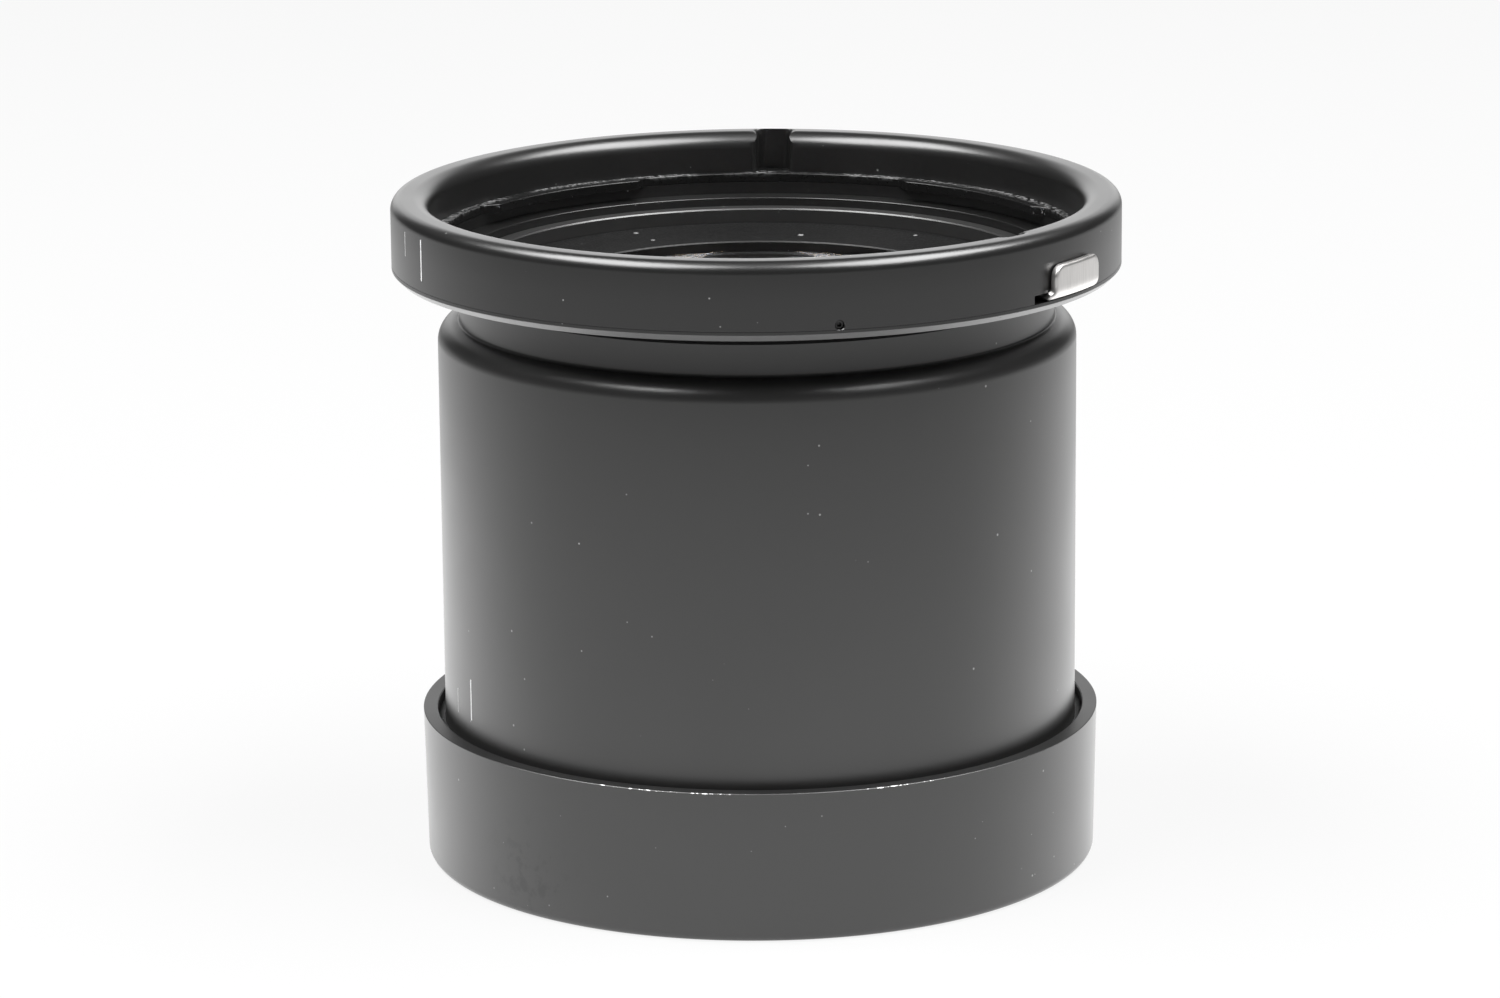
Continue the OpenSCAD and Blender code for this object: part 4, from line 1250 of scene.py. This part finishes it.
def lever_mesh():
    """Closed mesh from the two skins and a border between them."""
    outer, inner, wide, tall = lever_sheet()
    start = len(outer)
    faces = []
    for i in range(wide - 1):
        for j in range(tall - 1):
            a, b, c, d = i * tall + j, (i + 1) * tall + j, (i + 1) * tall + j + 1, i * tall + j + 1
            faces += [(a, b, c, d), (start + d, start + c, start + b, start + a)]
    border = [i * tall for i in range(wide)] + [(wide - 1) * tall + j for j in range(1, tall)]
    border += [i * tall + tall - 1 for i in range(wide - 2, -1, -1)] + list(range(tall - 2, 0, -1))
    for a, b in zip(border, border[1:] + border[:1]):
        faces.append((b, a, start + a, start + b))
    return new_mesh("thumb_lever", outer + inner, faces, tab_steel)


lever = tidy(new_object("thumb_lever", lever_mesh()))
print("sheet of", len(lever.data.polygons), "faces")

# %% [markdown]
# The plate's hidden half works the lock bolt. A slanted slot is cut through it, which pulls the bolt's
# pin outwards as the lever turns, and a small ear at its end pushes on the spring.

# %% Cam slot and spring ear
pin_r = 41.0 * MM
pin_slot_r = 0.58 * MM
lever_travel, bolt_throw = 2.8, 1.2 * MM
spring_ring, spring_d = 41.5 * MM, 1.5 * MM
ear_turn, ear_gap = 0.35, 0.15 * MM


def cam_slot():
    start = on_ring(pin_r, bolt_direction, 0)
    end = on_ring(pin_r + bolt_throw, bolt_direction + lever_travel, 0)
    heading = math.degrees(math.atan2(end.y - start.y, end.x - start.x))
    outline = []
    for spot, first in ((end, heading - 90), (start, heading + 90)):
        outline += arc(spot.x, spot.y, pin_slot_r, first, first + 180, 10)
    return prism(outline, lever_low_z - OVER / 2, lever_low_z + lever_t + OVER / 4)


def spring_ear():
    first, wide = lever_low + ear_turn, math.degrees(lever_t / spring_ring)
    return ring_sector(spring_ring - spring_d / 2, spring_ring + spring_d / 2, lever_low_z + lever_t / 2,
                       claw_z - ear_gap, first, first + wide, 2)


cut(lever, [cam_slot()])
dress(combine(lever, [spring_ear()], "UNION"), "release_lever", "lever")

# %% [markdown]
# ## Return spring
# The spring is a coil that follows a rule, so a small tree makes it: a spiral, a round wire swept along it,
# and a turn into place.

# %% Coil the spring
VECTOR = "NodeSocketVector"


def coil_tree():
    sizes = [("Turns", FLOAT, 12.0), ("Coil Radius", FLOAT, 0.0006), ("Wire Radius", FLOAT, 0.00012),
             ("Length", FLOAT, 0.013), ("Centre", VECTOR, None), ("Aim", VECTOR, None)]
    tree, given, result = shape_tree("Coil Spring", "Base", "Spring", sizes)
    path = place(tree, "GeometryNodeCurveSpiral", {
        "Resolution": 16, "Rotations": given["Turns"], "Start Radius": given["Coil Radius"],
        "End Radius": given["Coil Radius"], "Height": given["Length"]}).outputs[0]
    wire = place(tree, "GeometryNodeCurvePrimitiveCircle", {
        "Resolution": 10, "Radius": given["Wire Radius"]}).outputs[0]
    swept = place(tree, "GeometryNodeCurveToMesh", {
        "Curve": path, "Profile Curve": wire, "Fill Caps": True}).outputs[0]
    half = product(tree, given["Length"], -0.5)
    down = place(tree, "ShaderNodeCombineXYZ", {"Z": half}).outputs[0]
    centred = place(tree, "GeometryNodeTransform", {"Geometry": swept, "Translation": down}).outputs[0]
    aimed_coil = place(tree, "GeometryNodeTransform", {
        "Geometry": centred, "Translation": given["Centre"], "Rotation": given["Aim"]}).outputs[0]
    tree.links.new(real_and_painted(tree, aimed_coil, given), result["Spring"])
    return tree


spring_len, wire_d, coil_turns = 13.6 * MM, 0.25 * MM, 12.0
spring_low, spring_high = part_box("lever_spring")
spring_centre = (spring_low + spring_high) / 2
spring_heading = math.atan2(spring_centre.y, spring_centre.x) + math.pi / 2
spring = run_tree("return_spring", bpy.data.meshes.new("return_spring"), coil_tree(), **{
    "Turns": coil_turns, "Coil Radius": (spring_d - wire_d) / 2, "Wire Radius": wire_d / 2,
    "Length": spring_len - wire_d, "Centre": spring_centre, "Aim": (0, math.pi / 2, spring_heading),
    "Material": bolt_steel})
dress(spring, "lever_spring")
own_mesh(spring)

# %% [markdown]
# ## Lenses, cells and rings
# Each glass is turned from two arcs and a flat edge. A positive rise bulges and a negative rise is
# hollow. The front and rear glasses are coated, and the four between them are plain.


# %% Turn the glasses
def face_arc(clear, height, rise, outward):
    """Points of a lens face from the axis out to the clear radius."""
    steps = 24
    radius = (clear**2 + rise**2) / (2 * abs(rise))
    sign = math.copysign(1, rise) * outward
    centre = height + sign * (abs(rise) - radius)
    radii = [clear * i / steps for i in range(steps + 1)]
    return [(r, centre + sign * math.sqrt(radius**2 - r**2)) for r in radii]


def lens(name, node, front, back, edge_foot, edge_top, clear, material):
    """Glass between two faces, with a flat edge from its foot to its top."""
    outer = ring_of(node)[1]
    outline = face_arc(clear, edge_top, front, 1) + [(outer - EDGE, edge_top), (outer, edge_top - EDGE)]
    outline += [(outer, edge_foot + EDGE), (outer - EDGE, edge_foot)]
    outline += list(reversed(face_arc(clear, edge_foot, back, -1)))
    dress(turned(name, outline, material, closed=False, segments=128), node)


clear_r = ring_of("front_retaining_ring")[0]
last_clear_r = ring_of("rear_cell")[0]
rises = {
    "front_glass": (3.2, 4.2), "front_flint_glass": (-4.2, -3.9), "middle_glass": (2.9, 2.9),
    "rear_crown_glass": (3.7, 5.1), "rear_flint_glass": (-5.1, -3.5), "rear_glass": (-4.2, 2.0),
}
for node, (front, back) in rises.items():
    low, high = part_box(node)
    coated = node in ("front_glass", "rear_glass")
    lens(node.replace("_glass", "_lens"), node, front * MM, back * MM, low.z + max(back, 0) * MM,
         high.z - max(front, 0) * MM, last_clear_r if node == "rear_glass" else clear_r,
         coated_glass if coated else plain_glass)

# %% [markdown]
# The cells and gap rings that hold the glasses are plain turned tubes with broken edges. The long cell
# has a lip at its foot that the rear pair rests on.


# %% Turn the cells and rings
def tube_outline(inner, outer, low, high):
    """Tube with all four edges broken."""
    return [(inner + EDGE, low), (outer - EDGE, low), (outer, low + EDGE), (outer, high - EDGE),
            (outer - EDGE, high), (inner + EDGE, high), (inner, high - EDGE), (inner, low + EDGE)]


for node in ("front_gap_ring", "rear_gap_ring", "rear_retaining_ring"):
    spacer = turned(node.replace("_ring", "_spacer"), tube_outline(*ring_of(node)), inner_black)
    dress(spacer, node)

cell_hole_r, cell_out_r, cell_low, cell_high = ring_of("lens_cell")
glass_r = ring_of("front_glass")[1] + FIT
cell_lip = 3.0 * MM
lip_z = cell_low + cell_lip
cell_outline = [(cell_hole_r, cell_low), (cell_out_r - EDGE, cell_low), (cell_out_r, cell_low + EDGE),
                (cell_out_r, cell_high), (glass_r, cell_high), (glass_r, lip_z), (cell_hole_r, lip_z)]
dress(turned("lens_tube", cell_outline, inner_black), "lens_cell")

# %% [markdown]
# The rear cell carries the last glass and reaches down as a light shield. Fine ridges inside the shield
# break up stray light, and a zigzag like a thread's stands for them.

# %% Turn the rear cell with its light shield
shield_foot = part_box("rear_cell")[0].z
shield_step, shield_wall, stop_t = 3.0 * MM, 1.6 * MM, 2.0 * MM
shield_r = rear_cell_r - FIT - shield_step
baffle_d, baffle_pitch, baffle_start, baffle_end = 0.25 * MM, 0.7 * MM, 0.6 * MM, 0.2 * MM
last_r = ring_of("rear_glass")[1] + FIT
last_top = rear_stop_z - stop_t
ring_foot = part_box("rear_retaining_ring")[0].z


def rear_cell_outline():
    shield_hole_r = shield_r - shield_wall
    outside = [(shield_r - EDGE, shield_foot), (shield_r, shield_foot + EDGE), (shield_r, flange_z)]
    outside += [(rear_cell_r - FIT, flange_z), (rear_cell_r - FIT, rear_stop_z)]
    inside = [(last_clear_r, rear_stop_z), (last_clear_r, last_top), (last_r, last_top)]
    inside += [(last_r, ring_foot), (shield_hole_r, ring_foot)]
    baffles = thread(shield_hole_r, -baffle_d, baffle_pitch, shield_foot + baffle_start,
                     ring_foot - baffle_end)
    return outside + inside + list(reversed(baffles)) + [(shield_hole_r + EDGE, shield_foot)]


dress(turned("rear_tube", rear_cell_outline(), inner_black), "rear_cell")

# %% [markdown]
# The front retaining ring screws into the neck over the front glass. It is dished towards the glass, and
# two slots for a spanner are cut across its face.

# %% Turn the front retaining ring
ring_hole_r, ring_r, ring_low, ring_high = ring_of("front_retaining_ring")
ring_dish, spanner_w, spanner_len = 1.0 * MM, 1.2 * MM, 2.7 * MM
ring_pitch, ring_edge = 0.5 * MM, 0.2 * MM


def retaining_ring():
    outline = [(ring_hole_r + EDGE, ring_low), (ring_r, ring_low)]
    outline += thread(ring_r, fine_thread_d, ring_pitch, ring_low + thread_start, ring_high - ring_edge)
    outline += [(ring_r - ring_edge, ring_high), (ring_hole_r + EDGE, ring_high - ring_dish + EDGE / 2)]
    outline += [(ring_hole_r, ring_high - ring_dish - EDGE), (ring_hole_r, ring_low + EDGE)]
    ring = turned("front_lens_ring", outline, ring_black)
    slot = prism(bar(0, spanner_len + OVER, spanner_w), ring_high - ring_dish, ring_high + OVER)
    cut(ring, [aimed(slot, d, ring_r - spanner_len) for d in (90, 270)])
    return break_edges(ring, narrow_bevel)


dress(retaining_ring(), "front_retaining_ring")

# %% [markdown]
# ## Rear cap and its felt
# The cap is a shallow turned cup with a slightly tapered side and a soft lower edge, in one outline from
# the axis round to the axis again.

# %% Turn the cap
cap_draft = math.radians(1.07)
cap_foot_edge, cap_floor, cap_lip, cap_fillet = 0.95 * MM, 2.0 * MM, 0.06 * MM, 0.3 * MM
cap_play = 0.15 * MM
cap_low_r = lug_r + cap_play
cap_foot_r = cap_r - cap_top_z * math.tan(cap_draft)


def cap_outline():
    edge_r = cap_foot_r + cap_foot_edge * math.tan(cap_draft) - cap_foot_edge / math.cos(cap_draft)
    outline = [(0, floor_z)]
    outline += arc(edge_r, cap_foot_edge, cap_foot_edge, -90, -math.degrees(cap_draft), 8)
    outline += [(cap_r - cap_lip * math.tan(cap_draft), cap_top_z - cap_lip), (cap_r - cap_lip, cap_top_z)]
    outline += [(cap_mouth_r + EDGE, cap_top_z), (cap_mouth_r, cap_top_z - EDGE)]
    outline += [(cap_mouth_r, felt_foot_z), (cap_low_r, felt_foot_z), (cap_low_r, cap_floor + cap_fillet)]
    outline += arc(cap_low_r - cap_fillet, cap_floor + cap_fillet, cap_fillet, 0, -90, 4)
    return outline + [(0, cap_floor)]


dress(turned("slip_cap", cap_outline(), cap_black, closed=False), "rear_cap", "cap")

# %% [markdown]
# A strip of felt inside the cap's mouth grips the barrel. It is a thin ring whose surface is pushed about
# by noise, so that its edge is fuzzy instead of ruled.


# %% Lay the felt
def fuzzy_felt():
    steps_up, depth = 8, felt_top_z - felt_foot_z
    fuzz_size, fuzz_depth = 0.5 * MM, 0.06 * MM
    inner = [(felt_r, felt_foot_z + depth * k / steps_up) for k in range(steps_up + 1)]
    outline = [(cap_mouth_r, felt_foot_z)] + inner + [(cap_mouth_r, felt_top_z)]
    felt = turned("cap_felt_strip", outline, felt_fuzz, segments=384)
    texture = bpy.data.textures.new("felt fuzz", "CLOUDS")
    texture.noise_scale = fuzz_size
    push = felt.modifiers.new("Fuzz", "DISPLACE")
    push.texture, push.texture_coords = texture, "LOCAL"
    push.strength, push.mid_level = fuzz_depth, 1.0
    return tidy(settle(felt))


dress(fuzzy_felt(), "cap_felt", "cap")

# %% [markdown]
# ## Index lines
# Two pairs of engraved lines, a long and a short one on the collar and on the barrel, show where the
# lens lines up. The paint in them stands a hair proud, so each line is a thin curved strip on the
# metal.

# %% Paint the index lines
PAINT_T = 0.015 * MM


def paint_strip(radius, direction, width, low, high):
    """Thin strip of paint on a cylinder."""
    half = math.degrees(width / 2 / radius)
    return ring_sector(radius - PAINT_T, radius + PAINT_T, low, high, direction - half, direction + half, 2)


# Direction, width, foot and top of each line, in degrees and millimetres
collar_lines = [(-63.4, 0.26, 76.55, 81.6), (-70.5, 0.10, 78.6, 81.6)]
barrel_lines = [(-63.8, 0.26, 20.97, 26.13), (-70.6, 0.10, 20.8, 23.9)]
for name, radius, lines in (("collar_index", collar_r, collar_lines),
                            ("barrel_index", barrel_r, barrel_lines)):
    strips = [paint_strip(radius, d, w * MM, low * MM, high * MM) for d, w, low, high in lines]
    painted_lines = tidy(new_object(name, merged_mesh(name, strips, line_paint)))
    report(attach(painted_lines, "converter"))

# %% [markdown]
# ## Lock bolt
# The bolt and its pin hide in the pocket, and the CAD shapes are already right, so they stay and only
# get steel.

# %% Steel for the bolt
for node in ("lock_bolt", "lock_bolt_pin"):
    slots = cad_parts[node].data.materials
    slots.clear()
    slots.append(bolt_steel)
    print(node, "in", bolt_steel.name)

# %% [markdown]
# ## Stage and light
# The object stands on a wide white floor. To the camera the floor is almost white, and to mirror-like
# rays it is brightest close to the object and behind it. A share of plain matt white keeps a faint
# shadow.


# %% Floor
def floor_material():
    near_r, far_r, near_glow, far_glow = 0.10, 0.50, 1.24, 0.38
    front_glow, back_glow, middle_y = 0.80, 1.65, 0.035
    camera_glow, glow_share = 0.96, 0.88
    material = bpy.data.materials.new("White sweep")
    material.use_nodes = True
    tree = material.node_tree
    tree.nodes.remove(tree.nodes["Principled BSDF"])
    _, parts, radius = object_point(tree)
    rays = place(tree, "ShaderNodeLightPath").outputs
    seen = maths(tree, "MAXIMUM", rays["Is Glossy Ray"], rays["Is Transmission Ray"])
    close = ramp(tree, radius, near_r, far_r, near_glow, far_glow)
    ahead = total(tree, parts["Y"], middle_y)
    behind = ramp(tree, maths(tree, "DIVIDE", ahead, radius), -0.3, 1.0, front_glow, back_glow)
    lit = product(tree, close, behind)
    to_camera = product(tree, rays["Is Camera Ray"], camera_glow)
    toned = total(tree, to_camera, product(tree, seen, lit))
    glow = place(tree, "ShaderNodeEmission", {"Color": (1, 1, 1, 1), "Strength": toned}).outputs[0]
    matt = place(tree, "ShaderNodeBsdfDiffuse", {"Color": grey(0.6)}).outputs[0]
    share = product(tree, maths(tree, "MAXIMUM", seen, rays["Is Camera Ray"]), glow_share)
    both = place(tree, "ShaderNodeMixShader", {0: share, 1: matt, 2: glow}).outputs[0]
    tree.links.new(both, tree.nodes["Material Output"].inputs["Surface"])
    return material


FLOOR_R, FLOOR_T = 3.0, 0.01
floor_edge = [on_ring(FLOOR_R, d, 0)[:2] for d in range(0, 360, 10)]
floor_mesh = merged_mesh("sweep", [prism(floor_edge, -FLOOR_T, floor_z)], floor_material())
floor = tidy(new_object("sweep", floor_mesh))
floor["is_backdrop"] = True
print("floor", 2 * FLOOR_R, "m across")

# %% [markdown]
# A pale backdrop of limited width and height glows behind the object, and the rest of the room is dark,
# which is why the shoulder under the collar is nearly black. Two raised soft boxes left and right of the
# camera light everything.


# %% Tent and soft boxes
def light_tent():
    half_width, top, depth = (0.25, 0.5), (0.32, 0.56), (0.1, 0.5)
    paper_glow, room_glow = 1.5, 0.06
    world = bpy.data.worlds.new("Light tent")
    world.use_nodes = True
    tree = world.node_tree
    way = place(tree, "ShaderNodeTexCoord").outputs["Generated"]
    parts = place(tree, "ShaderNodeSeparateXYZ", {0: way}).outputs
    wide = ramp(tree, maths(tree, "ABSOLUTE", parts["X"]), *half_width, 1.0, 0.0)
    tall = ramp(tree, parts["Z"], *top, 1.0, 0.0)
    paper = product(tree, product(tree, wide, tall), ramp(tree, parts["Y"], *depth))
    room = total(tree, product(tree, paper, paper_glow), room_glow)
    rays = place(tree, "ShaderNodeLightPath").outputs
    inputs = {0: rays["Is Camera Ray"], 2: room, 3: 1.0}
    level = place(tree, "ShaderNodeMix", inputs, data_type="FLOAT").outputs[0]
    tree.links.new(level, tree.nodes["Background"].inputs["Strength"])
    tree.nodes["Background"].inputs["Color"].default_value = (1, 1, 1, 1)
    bpy.context.scene.world = world


BOX_SIZE, BOX_WATTS, BOX_DISTANCE, BOX_RISE = (1.0, 0.62), 20.0, 1.15, math.radians(61)
BOX_AIM = Vector((0, 0, 0.05))


def soft_box(name, direction):
    """Rectangular lamp at a direction from the front, aimed at the object."""
    lamp = bpy.data.lights.new(name, "AREA")
    lamp.shape, lamp.energy = "RECTANGLE", BOX_WATTS
    lamp.size, lamp.size_y = BOX_SIZE
    box = new_object(name, lamp)
    box.location = on_ring(BOX_DISTANCE * math.cos(BOX_RISE), direction, BOX_DISTANCE * math.sin(BOX_RISE))
    box.rotation_euler = (BOX_AIM - box.location).to_track_quat("-Z", "Y").to_euler()


light_tent()
for name, direction in (("soft_box_left", -72), ("soft_box_right", 76)):
    soft_box(name, direction)
print("tent and two soft boxes")

# %% [markdown]
# ## Camera
# The camera stands straight in front, a little above, with a long lens. Its distance and tilt were
# found from the ellipses of the rim and the foot, whose flattening fixes both.

# %% Place the camera
CAMERA_AT = (0, -0.70299, 0.21622)
CAMERA_PITCH = math.radians(13.736)
CAMERA_YAW, CAMERA_ROLL = -0.0015, -0.0086
SENSOR_W, FOCAL_LENGTH = 36, 139.25
camera = new_object("camera", bpy.data.cameras.new("camera"))
camera.data.sensor_width, camera.data.lens = SENSOR_W, FOCAL_LENGTH
turn = Matrix.Rotation(-CAMERA_YAW, 4, "Z") @ Matrix.Rotation(math.pi / 2 - CAMERA_PITCH, 4, "X")
camera.matrix_world = Matrix.Translation(CAMERA_AT) @ turn @ Matrix.Rotation(CAMERA_ROLL, 4, "Z")
bpy.context.scene.camera = camera
bpy.context.scene.view_settings.view_transform = "Standard"
print("camera at", CAMERA_AT)

# %% Compare the boxes and finish
visual_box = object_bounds()
for title, box in (("CAD box", cad_box), ("visual box", visual_box)):
    print(title, [round(c / MM, 2) for c in box[1]])
